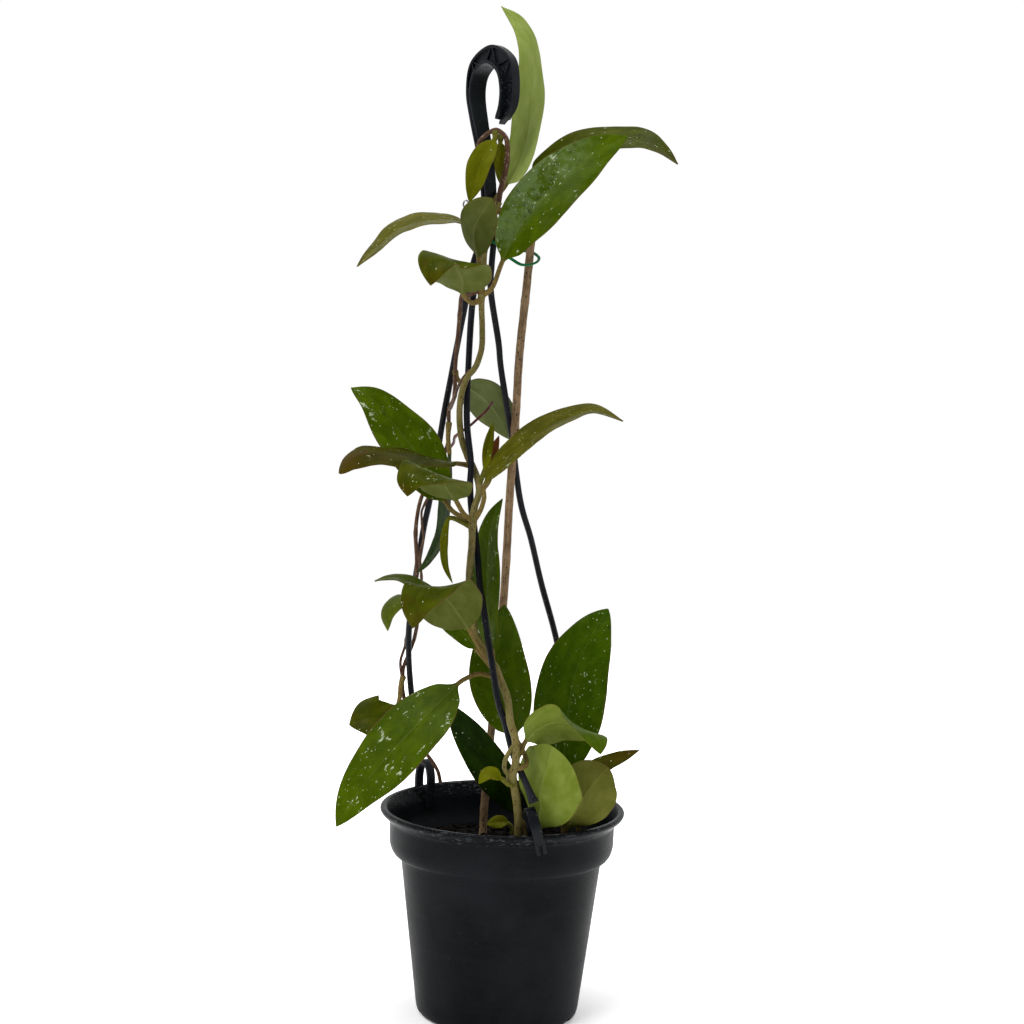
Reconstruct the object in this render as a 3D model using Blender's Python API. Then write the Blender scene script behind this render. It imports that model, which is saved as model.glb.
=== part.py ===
"""A young hoya in a nursery pot, climbing the plastic hanger that is clipped to the pot's rim.

Routes and sizes are in millimetres and turned into metres where a mesh is made. +Z is up, the origin is
the centre of the pot's foot, and the hanger's long front strand is on the -Y side.
"""

from collections import namedtuple
from math import atan2, cos, pi, radians, sin, tan

import bmesh
import bpy
from mathutils import Matrix, Vector

MM = 0.001
GAP = 0.3  # clearance between pieces that touch
MERGE = 0.03  # points of one piece this close are made one
UP = Vector((0, 0, 1))

# Pot: a turned shell with a flared lip, a straight collar and a tapered body.
POT_HEIGHT = 120.0
LIP_RADIUS = 70.0
LIP_DROP = 7.5
COLLAR_RADIUS = 64.3
COLLAR_DROP = 18.0
BODY_TOP_RADIUS = 58.3
BODY_TOP_DROP = 27.5
FOOT_RADIUS = 46.8
FOOT_CHAMFER = 3.0
WALL = 1.6
FLOOR = 2.0
POT_SIDES = 36
DRAIN_COUNT = 8
DRAIN_WIDTH = 6.0
DRAIN_HEIGHT = 2.8

# Soil: a low mound that fills the pot to below its rim.
SOIL_LEVEL = 96.5
SOIL_MOUND = 2.5

# Hanger: a trussed hook on a stem, a small hub, three strands and three rim clips.
HANGER_X = -17.3
HOOK_TURN = radians(45)
SADDLE_WIDTH = 12.0
BACK_WIDTH = 4.8
HOOK_WALL = 1.6
HUB_TOP = 450.0
HUB_HEIGHT = 4.0
HUB_RADIUS = 6.0
STRAND_RADIUS = 1.8

STEM_RADIUS = 2.3
KNUCKLE = 1.35  # how much a stem swells at a node
PETIOLE_RADIUS = 1.25
BLADE_THICKNESS = 0.9
CANE_RADIUS = 2.4

Leaf = namedtuple("Leaf", "name route stalk width face tip_face fold host colour point turn",
                  defaults=(0.85, 1.0))
Leaf.__doc__ = """One leaf and its stalk.

route: points from the leaf's root to its tip; stalk: how many of them come before the blade; width: of the
blade; face, tip_face: where the upper side looks at the blade's base and tip; fold: degrees that each half
is raised from flat; host: the stem it grows from, or None for the soil; colour: a key of COLOURS; point: how
fast the blade narrows to its tip, where under 0.7 is blunt and over 1 is drawn out; turn: how late the
upper side turns from one look to the other, as a power of the share of the blade."""

COLOURS = {
    "deep": (0.030, 0.075, 0.008),
    "olive": (0.085, 0.105, 0.030),
    "pale": (0.200, 0.270, 0.070),
    "young": (0.130, 0.160, 0.015),
    "stem": (0.170, 0.120, 0.045),
    "vine": (0.110, 0.055, 0.032),
    "tendril": (0.070, 0.018, 0.012),
    "cane": (0.200, 0.125, 0.065),
    "plastic": (0.013, 0.015, 0.019),
    "pot": (0.020, 0.023, 0.028),
    "soil": (0.012, 0.008, 0.006),
    "tie": (0.004, 0.140, 0.050),
    "wire": (0.300, 0.300, 0.300),
}

LEAVES = (
    # top of the climb
    Leaf("leaf_top_upright",
         ((-12.5, -10, 460), (-13.5, -4, 465), (-8.5, 6, 473), (-1.5, 11, 487), (3, 15, 507), (4.5, 18, 530),
          (3.5, 20, 549),
          (-3, 21, 563), (-14, 21, 573)),
         3, 34, (-0.85, 0.5, 0), (-0.8, 0.5, 0.3), 4, "main_stem", "pale", 1.0),
    Leaf("leaf_top_right",
         ((-20, -12, 411), (-14, -14, 416), (-9, -15, 430), (-1, -17, 448), (11, -19, 464), (24, -19, 478),
          (40, -17, 491), (58, -12, 501)),
         3, 34, (-0.3, -0.9, 0.3), (-0.3, -0.9, 0.3), 4, "main_stem", "deep"),
    Leaf("leaf_top_arching",
         ((-13, -10, 457.5), (-7.5, -7, 460), (-4, 2, 469), (5, 8, 479), (21, 10, 490), (42, 9, 498),
          (64, 5, 500),
          (77, 2, 495), (87, 0, 487)),
         4, 33, (-0.2, -0.45, 0.9), (0.4, -0.5, 0.8), 6, "main_stem", "olive"),
    Leaf("leaf_tip_hanging",
         ((-15, -12, 501), (-15, -14, 497), (-19, -17, 490), (-23, -18, 482), (-25, -18, 473),
          (-28, -18, 462)),
         2, 14, (-0.3, -0.9, 0.1), (-0.3, -0.9, 0.1), 12, "tip_shoot", "young"),
    Leaf("leaf_tip_small",
         ((-11, -12, 500), (-12, -9, 496), (-12, -8, 483), (-11, -8, 472)),
         2, 10, (0.6, -0.7, 0), (0.6, -0.7, 0), 12, "tip_shoot", "young"),
    Leaf("leaf_top_front",
         ((-20, -12, 412), (-21, -17, 421), (-22, -21, 432), (-24, -27, 440), (-24, -34, 448),
          (-20, -46, 456),
          (-15, -58, 463)),
         3, 22, (0.5, 0.6, 0.7), (0.5, 0.6, 0.7), 14, "main_stem", "olive"),
    Leaf("leaf_top_left",
         ((-17, -10, 445), (-22, -13, 448), (-28, -15, 450), (-38, -18, 452), (-51, -22, 451),
          (-65, -26, 446.5),
          (-75, -28, 438), (-88, -30, 425)),
         3, 28, (0, -0.25, 1), (-0.6, -0.4, 0.7), 6, "main_stem", "olive"),
    Leaf("leaf_upper_drooping",
         ((-20, -12, 409), (-25, -18, 407), (-30, -25, 412), (-30, -36, 419), (-32, -48, 425),
          (-36, -58, 430),
          (-42, -66, 431), (-45, -70, 425), (-46, -71, 416)),
         3, 36, (0.1, 0.4, 0.9), (-0.4, -1, 0.4), -4, "main_stem", "olive"),
    # middle whorl
    Leaf("leaf_middle_flecked",
         ((-21, -40, 288), (-31, -34, 292), (-36, -29, 297), (-44, -27, 309), (-53, -24, 323),
          (-65, -20, 337),
          (-78, -17, 351), (-91, -14, 358)),
         3, 32, (0.3, -0.85, 0.4), (0.3, -0.85, 0.4), 4, "main_stem", "deep"),
    Leaf("leaf_middle_left",
         ((-22, -21, 317), (-27, -24, 318), (-31, -31, 319), (-36, -36, 320), (-46, -42, 322),
          (-61, -48.5, 324.5),
          (-77, -56, 325), (-87, -58, 321), (-93, -59, 314)),
         3, 26, (0, -0.25, 1), (-0.5, -0.6, 0.7), -6, "main_stem", "olive", 0.6),
    Leaf("leaf_middle_drooping",
         ((-21, -40, 288), (-26, -45, 293), (-30, -48, 300), (-34, -56, 307), (-38, -65, 314),
          (-44, -73, 318),
          (-50, -79, 318), (-54, -81, 313), (-55, -82, 305)),
         3, 34, (0.1, 0.5, 0.85), (-0.3, -1, 0.4), -4, "main_stem", "olive"),
    Leaf("leaf_middle_back",
         ((-34, 8, 368), (-33, 12, 364), (-30, 16, 361), (-24, 21, 357), (-16, 26, 351), (-8, 28, 341),
          (-2, 28, 329)),
         3, 25, (0.2, 0.95, 0.3), (0.2, 0.95, 0.3), 3, "vine", "olive"),
    Leaf("leaf_middle_right",
         ((-21, -40, 288), (-17, -41, 294), (-15, -39, 301), (-15, -37, 308), (-7, -34, 318), (4, -31, 329),
          (17, -29, 339), (31, -29, 346), (44, -30, 350), (60, -32, 345)),
         4, 28, (-0.35, -0.25, 0.9), (0.2, -0.25, 0.9), 10, "main_stem", "olive"),
    Leaf("leaf_middle_hanging",
         ((-37, 16, 338), (-37, 9, 330), (-36, 6, 322), (-36, 5, 312), (-37, 4, 295), (-39, 4, 275),
          (-45, 5, 262), (-52, 6, 253)),
         3, 22, (-0.9, -0.3, 0), (-0.9, -0.3, 0), 4, "vine", "deep"),
    Leaf("leaf_shoot_green",
         ((-18.5, -29.5, 307), (-15.5, -25, 315), (-14, -23, 328), (-11.5, -23, 342)),
         2, 6, (0.3, -0.9, 0), (0.3, -0.9, 0), 12, "main_stem", "young"),
    Leaf("leaf_shoot_red",
         ((-18, -32.5, 303.5), (-12.5, -25, 310), (-11, -18, 323), (-8, -16, 334)),
         2, 7, (-0.3, -0.9, 0.2), (-0.3, -0.9, 0.2), 12, "main_stem", "tendril"),
    Leaf("leaf_middle_tall",
         ((-8, -45, 209), (-8, -38, 216), (-11, -36, 233), (-12, -32, 254), (-12, -29, 274), (-10, -28, 288),
          (-5, -28, 300)),
         2, 26, (-0.8, -0.6, 0.1), (-0.8, -0.6, 0.1), 6, "main_stem", "deep"),
    Leaf("leaf_middle_narrow",
         ((-21, -40, 285), (-27, -42, 288), (-33, -42, 290), (-35, -42, 286), (-36, -43, 275),
          (-35, -43, 264),
          (-31, -42, 254)),
         3, 5, (-0.4, -0.9, 0), (-0.4, -0.9, 0), 10, "main_stem", "young"),
    # lower whorl
    Leaf("leaf_lower_thin",
         ((-18.5, -39.5, 230), (-24, -30, 238), (-35, -25, 242), (-44, -23, 246), (-51, -22, 249.5),
          (-60, -21, 252.5),
          (-67, -21, 253), (-75, -21, 251)),
         3, 16, (0, -0.15, 1), (-0.3, -0.2, 1), 6, "main_stem", "olive"),
    Leaf("leaf_lower_drooping",
         ((-9, -44, 211), (-14, -46, 218), (-18, -51, 225), (-21, -56, 231), (-27, -64, 241), (-33, -73, 250),
          (-39, -82, 257), (-45, -88, 256), (-49, -90, 248), (-50, -90, 236)),
         4, 36, (-0.27, 0.7, 0.64), (-0.3, -0.9, 0.4), -5, "main_stem", "olive"),
    Leaf("leaf_lower_under",
         ((-8, -45, 209), (-12.5, -42, 213), (-17, -42, 218), (-24, -42, 226), (-33, -40, 232.5),
          (-46, -37, 237.5)),
         3, 14, (0, -0.65, 0.75), (0, -0.65, 0.75), 4, "main_stem", "deep"),
    Leaf("leaf_lower_curled",
         ((-20, -39, 236), (-28, -44, 240), (-38, -48, 243), (-49, -51, 245), (-57, -54, 247),
          (-63, -56, 243),
          (-66, -57, 237), (-65, -57, 229)),
         3, 18, (0, 0.2, 1), (-0.7, -0.7, 0.2), -6, "main_stem", "olive"),
    Leaf("leaf_lower_flecked",
         ((-3, -48.5, 203), (-9, -46, 204), (-15, -47, 205), (-20, -51, 204), (-26, -56, 201),
          (-33, -60, 194),
          (-46, -66, 181), (-64, -71, 161), (-79, -75, 142), (-89, -78, 125)),
         5, 37, (-0.35, -0.8, 0.45), (-0.35, -0.8, 0.35), 4, "main_stem", "deep"),
    Leaf("leaf_lower_small",
         ((-61, 46, 185), (-62, 40, 181), (-63, 32.5, 171), (-70, 30, 164), (-81, 29, 163), (-91, 29, 159)),
         3, 27, (0, -0.85, 0.5), (0, -0.85, 0.5), 4, "vine", "olive"),
    # around the foot
    Leaf("leaf_foot_broad",
         ((6, -69, 158), (11.3, -67, 158.5), (12.3, -61.5, 161), (9.5, -54.5, 166), (6, -48.5, 171),
          (2, -41, 180), (-3, -32, 196), (-5, -27, 214),
          (-2, -28, 241)),
         5, 34, (0.1, -0.9, 0.3), (0.1, -0.9, 0.3), 6, "main_stem", "deep"),
    Leaf("leaf_foot_right",
         ((36, 26, 82), (36, 26, 98), (36, 21, 116), (36, 14, 136), (35, 10, 149), (35.5, 6, 168),
          (39, 3, 196), (47.5, 4, 219), (57, 8, 235)),
         4, 41, (-0.1, -0.95, 0.25), (-0.1, -0.9, 0.4), 4, None, "deep", 0.75),
    Leaf("leaf_foot_pale_top",
         ((6.5, -69.3, 163), (9.5, -65, 167), (11.5, -61, 171), (18, -58, 178), (27, -58, 182),
          (35, -61, 182),
          (42, -66, 180), (48, -70, 178), (51, -73, 174), (52, -74, 168)),
         3, 36, (-0.1, 0.8, 0.6), (0.5, -0.8, 0.6), -5, "main_stem", "pale", 0.85, 2.6),
    Leaf("leaf_foot_pale_front",
         ((22, -42, 82), (22, -43, 97), (22, -46, 110), (21, -50, 120), (21, -54, 131), (21, -60, 145),
          (24, -67.5, 159), (26, -72, 171)),
         4, 44, (0.65, 0.75, 0.2), (0.65, 0.75, 0.2), 18, None, "pale", 0.65),
    Leaf("leaf_foot_pale_right",
         ((33, -36, 82), (33, -37, 97), (34, -40, 110), (36, -43, 119), (40, -47, 129), (45, -51, 140),
          (51, -54, 150), (57, -55, 157)),
         4, 36, (0, 0.95, 0.1), (0, 0.95, 0.1), 6, None, "pale", 0.6),
    Leaf("leaf_foot_brown",
         ((44, -22, 82), (44, -22, 97), (43, -25, 118), (43, -29, 134), (48, -31, 147), (57, -32, 153.5),
          (66, -34, 158), (75, -37, 163)),
         4, 13, (0, -0.6, 0.8), (0, -0.6, 0.8), 6, None, "olive"),
    Leaf("leaf_foot_long",
         ((14, 10, 82), (14, 10, 98), (13.5, 8, 106), (9, 6, 114), (-0.5, 4, 131), (-12, 4, 148),
          (-23, 4, 164),
          (-34, 4, 179)),
         4, 24, (-0.5, -0.8, 0.4), (-0.5, -0.8, 0.4), 4, None, "deep"),
    Leaf("leaf_knot_curled",
         ((5.5, -64, 148), (3, -69, 149), (-1, -73, 153), (-5, -76, 156), (-9, -78, 156), (-13, -79, 151)),
         3, 8, (0, -0.7, 0.7), (-0.4, -0.8, 0.3), 8, "main_stem", "young"),
    Leaf("leaf_soil_young",
         ((6, 29, 82), (6, 29, 91), (6, 29, 99.5), (3.5, 29, 103), (-2, 29, 103.5), (-9, 29, 102)),
         4, 9, (0, -0.7, 0.7), (0, -0.7, 0.7), 8, None, "young"),
)

MAIN_STEM = ((9, -50, 82), (9, -50, 98), (9, -54, 125), (6.5, -61, 144), (4.5, -66.5, 152), (6.5, -69.5, 161),
             (6, -68, 173), (3, -64, 182), (1, -54, 193), (-3, -49, 202), (-7, -45, 209), (-12, -42, 217),
             (-18, -40, 227), (-21, -38, 244), (-22, -38, 258), (-21, -41, 275), (-21, -41, 288),
             (-20, -38, 296), (-18, -33, 303), (-19, -27, 310), (-22, -22, 317), (-25, -21, 322),
             (-28.8, -22.5, 333), (-30.1, -23.5, 346), (-29.3, -23, 357), (-26.5, -22, 366), (-22, -22, 372),
             (-19, -18, 382), (-19, -15, 393), (-20, -12, 411), (-19, -10, 424), (-19, -10, 434),
             (-17, -10, 445), (-14, -10, 456), (-12, -10, 463))
KNUCKLE_HEIGHTS = (152, 208, 288, 411, 463)
KNOT_LOOP = ((5, -68.5, 170), (1.5, -69.5, 164), (0.5, -69.5, 158), (3.5, -67.5, 152.5))
TIP_SHOOT = ((-12, -10, 463), (-11, -11, 470), (-9, -12, 478), (-8, -12, 486), (-8, -12, 493), (-9, -12, 498),
             (-12, -12, 501), (-15, -12, 502), (-19, -12, 500), (-23, -12, 496), (-25, -12, 490))
VINE = ((-37, 39, 124), (-39, 40, 131), (-44, 42, 138), (-50, 46, 144), (-54, 46, 153), (-58, 45, 165),
        (-61, 46, 178), (-61, 46, 190), (-58, 48, 199), (-55, 47, 208), (-53, 41, 222), (-54, 34, 240),
        (-54, 31, 249), (-54, 30, 258), (-55, 30, 273), (-54, 29, 285), (-52, 31, 294), (-48, 32, 303),
        (-42, 28, 314), (-38, 24, 324), (-37, 19, 333), (-37, 14, 346), (-34, 10, 354), (-34, 8, 369),
        (-33, 4, 386), (-32, 0, 401), (-31, -6, 411), (-27, -11, 411), (-23, -13.5, 413), (-20, -12, 413))
TENDRIL = ((-38, 25, 322), (-36, 20, 324), (-34, 14, 327), (-33, 6, 331), (-29, -5, 335), (-24, -10, 339),
           (-19, -14, 344), (-15, -16, 348), (-12, -18, 353))
SIDE_VINE = ((-25, -22, 370), (-29, -21, 365), (-32, -14, 359), (-34, -5, 352), (-36, 6, 347), (-37, 13, 346))
CANE = ((7, 12, 446), (5, 14, 417), (2, 16, 377), (1, 18, 341), (-1, 19, 299), (-3, 20, 234), (-10, 21, 126),
        (-11, 21, 98), (-12, 21, 80))
STRANDS = {
    "strand_left": ((-21, 1.5, 445.5), (-21.5, 1.5, 441), (-25.5, 3, 428), (-29, 8, 408), (-38.5, 16, 352),
                    (-41.5, 20, 333), (-47, 27, 294), (-51, 32, 272), (-57, 40, 227), (-58, 43, 204),
                    (-56, 48, 176), (-50.5, 51.5, 138)),
    "strand_front": ((-18, -4, 445.5), (-18.5, -4, 441), (-22, -5, 428), (-25, -8, 406), (-26, -16, 374),
                     (-26, -22, 343), (-23, -28, 320), (-23, -31, 308), (-22, -33, 295), (-20, -34, 284),
                     (-18, -36, 270), (-16, -41, 253), (-13, -46, 238), (-9, -51, 217), (-4, -57, 192),
                     (0, -59, 181), (5, -62, 164), (12, -66, 150), (17, -68, 139)),
    "strand_right": ((-14, 1.5, 445.5), (-14.2, 1.5, 441), (-15, 3, 428), (-15, 6, 413), (-10, 12, 385),
                     (-8, 16, 369), (-1, 23, 331), (5, 28, 294), (12, 32, 271), (19, 38, 244), (28, 42, 214),
                     (36, 46, 180), (45, 50, 138)),
}
CLIPS = {"clip_left": (134.4, 0), "clip_front": (-74, 14), "clip_right": (48, 0)}  # angle round the rim, lean
TIE = ((-17.3, 3.5, 440), (-17.6, 0, 441), (-14.3, -1.6, 441), (-11, 0.5, 438), (-10.5, 5, 436), (-4, 8, 432),
       (2, 7.5, 429), (9, 8, 430), (11.5, 12, 433), (8, 16.5, 436), (3, 16, 437))
WIRE = ((-19, -4.4, 457), (-22.5, -6, 457.5), (-27, -7, 460), (-30, -7, 463.5), (-31.5, -7, 461),
        (-29.5, -7, 457.5), (-26.5, -7.5, 456))


# -- curves and meshes ------------------------------------------------------------------------------

def smooth(points, per_span):
    """A curve through every point, with per_span steps from each point to the next."""
    knots = [Vector(p) for p in points]
    knots = [2 * knots[0] - knots[1]] + knots + [2 * knots[-1] - knots[-2]]
    curve = []
    for p0, p1, p2, p3 in zip(knots, knots[1:], knots[2:], knots[3:]):
        for step in range(per_span):
            t = step / per_span
            curve.append(0.5 * (2 * p1 + t * (p2 - p0) + t * t * (2 * p0 - 5 * p1 + 4 * p2 - p3)
                                + t ** 3 * (3 * p1 - p0 - 3 * p2 + p3)))
    return curve + [knots[-2]]


def tangents(curve):
    ends = [curve[0]] + curve + [curve[-1]]
    return [(ends[i + 2] - ends[i]).normalized() for i in range(len(curve))]


def add_object(name, bm, colour, roughness=0.5):
    """The mesh as a smooth-shaded object in metres, with its own material."""
    bmesh.ops.scale(bm, vec=(MM, MM, MM), verts=bm.verts)
    bmesh.ops.recalc_face_normals(bm, faces=bm.faces)
    mesh = bpy.data.meshes.new(name)
    bm.to_mesh(mesh)
    bm.free()
    obj = bpy.data.objects.new(name, mesh)
    bpy.context.collection.objects.link(obj)
    mesh.shade_smooth()
    mesh.set_sharp_from_angle(angle=radians(35))
    material = bpy.data.materials.new(name)
    material.use_nodes = True
    shader = material.node_tree.nodes["Principled BSDF"]
    shader.inputs["Base Color"].default_value = (*COLOURS[colour], 1)
    shader.inputs["Roughness"].default_value = roughness
    mesh.materials.append(material)
    return obj


def loft(rings):
    """A closed solid through rings of equal count, its ends closed by flat caps."""
    bm = bmesh.new()
    rows = [[bm.verts.new(point) for point in ring] for ring in rings]
    for low, high in zip(rows, rows[1:]):
        for i in range(len(low)):
            j = (i + 1) % len(low)
            bm.faces.new((low[i], low[j], high[j], high[i]))
    bm.faces.new(rows[0][::-1])
    bm.faces.new(rows[-1])
    bmesh.ops.triangulate(bm, faces=bm.faces)
    return bm


def tube_rings(curve, radii, sides):
    """Round rings along a curve, carried from one to the next without twisting."""
    rings = []
    across = Vector((1, 0, 0))
    for point, along, radius in zip(curve, tangents(curve), radii):
        across = (across - along * across.dot(along)).normalized()
        other = along.cross(across)
        rings.append([point + radius * (across * cos(2 * pi * i / sides) + other * sin(2 * pi * i / sides))
                      for i in range(sides)])
    return rings


def tube(name, route, radius, colour, per_span=2, sides=8, roughness=0.5):
    """A round rod along a route; radius is a number or a function of the share of the way along."""
    curve = smooth(route, per_span)
    last = len(curve) - 1
    radii = [radius(i / last, curve[i]) if callable(radius) else radius for i in range(last + 1)]
    return add_object(name, loft(tube_rings(curve, radii, sides)), colour, roughness)


def helper(obj):
    """Keeps a cutting tool out of the model."""
    obj.hide_render = True
    obj.display_type = "WIRE"
    return obj


def combine(obj, other, operation):
    """Applies a Boolean with another object, drops that object, and merges points lying almost together."""
    modifier = obj.modifiers.new(operation.title(), "BOOLEAN")
    modifier.operation = operation
    modifier.object = other
    bpy.context.view_layer.update()
    graph = bpy.context.evaluated_depsgraph_get()
    mesh = bpy.data.meshes.new_from_object(obj.evaluated_get(graph))
    bm = bmesh.new()
    bm.from_mesh(mesh)
    bmesh.ops.remove_doubles(bm, verts=bm.verts, dist=MERGE * MM)
    bmesh.ops.dissolve_degenerate(bm, edges=bm.edges, dist=MERGE * MM)
    bmesh.ops.triangulate(bm, faces=bm.faces)
    bm.to_mesh(mesh)
    bm.free()
    obj.modifiers.clear()
    obj.data = mesh
    bpy.data.objects.remove(other)


def carve(obj, route, radius, per_span=2, sides=12):
    """Cuts a clear channel for a rod of this radius along a route."""
    grown = (lambda share, point: radius(share, point) + GAP) if callable(radius) else radius + GAP
    combine(obj, helper(tube("channel", route, grown, "wire", per_span, sides)), "DIFFERENCE")


# -- pot and soil -----------------------------------------------------------------------------------

def pot_profile():
    """(radius, height) points: up the outside from the foot, over the lip and down the inside."""
    top = POT_HEIGHT
    outside = [(FOOT_RADIUS - FOOT_CHAMFER, 0), (FOOT_RADIUS, FOOT_CHAMFER * 1.4),
               (BODY_TOP_RADIUS - 0.6, top - BODY_TOP_DROP)]
    for step in range(1, 6):  # the collar's lower edge rounds in to the body
        turn = step / 5 * pi / 2
        outside.append((COLLAR_RADIUS - (COLLAR_RADIUS - BODY_TOP_RADIUS - 1) * (1 - sin(turn)),
                        top - COLLAR_DROP - (BODY_TOP_DROP - COLLAR_DROP) * cos(turn)))
    outside += [(COLLAR_RADIUS + 0.3, top - LIP_DROP), (LIP_RADIUS - 0.4, top - 2.6), (LIP_RADIUS, top - 1.6),
                (LIP_RADIUS - 0.5, top - 0.4), (LIP_RADIUS - 1.4, top)]
    inside = [(LIP_RADIUS - 3.0, top), (LIP_RADIUS - 3.9, top - 0.6), (COLLAR_RADIUS - WALL, top - 8),
              (COLLAR_RADIUS - WALL, top - COLLAR_DROP),
              (BODY_TOP_RADIUS - WALL - 0.6, top - BODY_TOP_DROP - 1),
              (FOOT_RADIUS - WALL, FLOOR + FOOT_CHAMFER), (FOOT_RADIUS - FOOT_CHAMFER - WALL, FLOOR)]
    return outside + inside


def turned(profile, sides):
    """A solid turned about Z from a profile whose two ends are closed at the axis by flat discs."""
    bm = bmesh.new()
    turns = [2 * pi * i / sides for i in range(sides)]
    rows = [[bm.verts.new((r * cos(turn), r * sin(turn), z)) for turn in turns] for r, z in profile]
    for low, high in zip(rows, rows[1:]):
        for i in range(sides):
            j = (i + 1) % sides
            bm.faces.new((low[i], low[j], high[j], high[i]))
    for row, height in ((rows[0], profile[0][1]), (rows[-1], profile[-1][1])):
        centre = bm.verts.new((0, 0, height))
        for i in range(sides):
            bm.faces.new((row[i], row[(i + 1) % sides], centre))
    bmesh.ops.triangulate(bm, faces=bm.faces)
    return bm


def box(name, size, matrix):
    bm = bmesh.new()
    bmesh.ops.create_cube(bm, size=1)
    bmesh.ops.scale(bm, vec=size, verts=bm.verts)
    bmesh.ops.transform(bm, matrix=matrix, verts=bm.verts)
    return add_object(name, bm, "plastic")


def make_pot():
    pot = add_object("pot", turned(pot_profile(), POT_SIDES), "pot", 0.35)
    for i in range(DRAIN_COUNT):
        angle = 2 * pi * (i + 0.4) / DRAIN_COUNT
        place = Matrix.Rotation(angle, 4, "Z") @ Matrix.Translation((FOOT_RADIUS - 3, 0, 0))
        combine(pot, helper(box("drain", (10, DRAIN_WIDTH, 2 * DRAIN_HEIGHT), place)), "DIFFERENCE")
    return pot


def make_soil():
    """Soil up to its level, a little higher in the middle, with a plain hole for each root."""
    wall = WALL + GAP
    body_slope = (BODY_TOP_RADIUS - FOOT_RADIUS - 0.6) / (POT_HEIGHT - BODY_TOP_DROP - FOOT_CHAMFER * 1.4)
    low = FLOOR + FOOT_CHAMFER + 1.0
    edge = POT_HEIGHT - BODY_TOP_DROP - 2.0
    profile = [(FOOT_RADIUS - wall - 1.0, low), (FOOT_RADIUS - wall - 0.4 + body_slope * (edge - low), edge),
               (COLLAR_RADIUS - wall - 4.2, SOIL_LEVEL - 1.0), (COLLAR_RADIUS - wall - 5.0, SOIL_LEVEL)]
    for share in (0.75, 0.5, 0.25):
        profile.append((share * COLLAR_RADIUS * 0.9, SOIL_LEVEL + SOIL_MOUND * (1 - share)))
    soil = add_object("soil", turned(profile, 30), "soil", 0.95)
    roots = [(MAIN_STEM[:2], STEM_RADIUS), (CANE[:-3:-1], CANE_RADIUS)]
    roots += [(leaf.route[:2], PETIOLE_RADIUS) for leaf in LEAVES if leaf.host is None]
    for (foot, top), radius in roots:
        foot, top = Vector(foot), Vector(top)
        mouth = foot.lerp(top, (SOIL_LEVEL + 8 - foot.z) / (top.z - foot.z))
        hole = tube_rings([foot - UP, mouth], [radius + 1.5 * GAP] * 2, 8)
        combine(soil, helper(add_object("hole", loft(hole), "wire")), "DIFFERENCE")
    return soil


# -- hanger -----------------------------------------------------------------------------------------

# Edges of the hook's band in its own plane, from the hub up and over to the tip: (sideways, height).
HOOK_OUTER = ((-4.3, 449), (-5.5, 468), (-9.5, 489), (-15.3, 508), (-19.0, 525), (-15.6, 541), (0, 549.3),
              (15.2, 542), (19.2, 528), (17.6, 514.5), (8.2, 505.5))
HOOK_INNER = ((2.4, 449), (1.7, 468), (-2.4, 489), (-8.0, 508), (-11.3, 522), (-9.2, 533), (-0.5, 539),
              (8.2, 534), (11.3, 525), (10.9, 516), (8.8, 509.8))
HOOK_SPAN_STEPS = 2


def hook_frame():
    return Matrix.Translation((HANGER_X, 0, 0)) @ Matrix.Rotation(-HOOK_TURN, 4, "Z")


def make_hook():
    """An I-section band, its saddle flange wider than its back flange, with zigzag ribs on its web."""
    outer = [Vector((s, 0, z)) for s, _, z in smooth([(s, 0, z) for s, z in HOOK_OUTER], HOOK_SPAN_STEPS)]
    inner = [Vector((s, 0, z)) for s, _, z in smooth([(s, 0, z) for s, z in HOOK_INNER], HOOK_SPAN_STEPS)]
    frame = hook_frame()
    last = len(outer) - 1
    rings = []
    for i, (near, far) in enumerate(zip(inner, outer)):
        grow = min(1.0, 0.55 + 1.2 * i / last)
        saddle, back, web = SADDLE_WIDTH * grow / 2, BACK_WIDTH * grow / 2, HOOK_WALL / 2
        wall = HOOK_WALL / (far - near).length
        half = [(0, saddle), (wall, saddle), (wall, web), (1 - wall, web), (1 - wall, back), (1, back)]
        outline = [(share, -side) for share, side in half] + half[::-1]
        rings.append([frame @ (near.lerp(far, share) + Vector((0, side, 0))) for share, side in outline])
    hook = add_object("hanger_hook", loft(rings), "plastic", 0.4)
    for rib, i in enumerate(range(2, last - 1, 2)):
        ends = (inner[i], outer[i + 2]) if rib % 2 else (outer[i], inner[i + 2])
        middle, along = (ends[0] + ends[1]) / 2, ends[1] - ends[0]
        place = frame @ Matrix.Translation(middle) @ Matrix.Rotation(atan2(along.x, along.z), 4, "Y")
        grow = min(1.0, 0.55 + 1.2 * i / last)
        combine(hook, box("rib", (1.2, BACK_WIDTH * grow - 0.8, along.length - 0.8), place), "UNION")
    hub = bmesh.new()
    bmesh.ops.create_cone(hub, cap_ends=True, segments=16, radius1=HUB_RADIUS, radius2=HUB_RADIUS,
                          depth=HUB_HEIGHT,
                          matrix=Matrix.Translation((HANGER_X, 0, HUB_TOP - HUB_HEIGHT / 2)))
    combine(hook, add_object("hub", hub, "plastic"), "UNION")
    return hook


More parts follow.
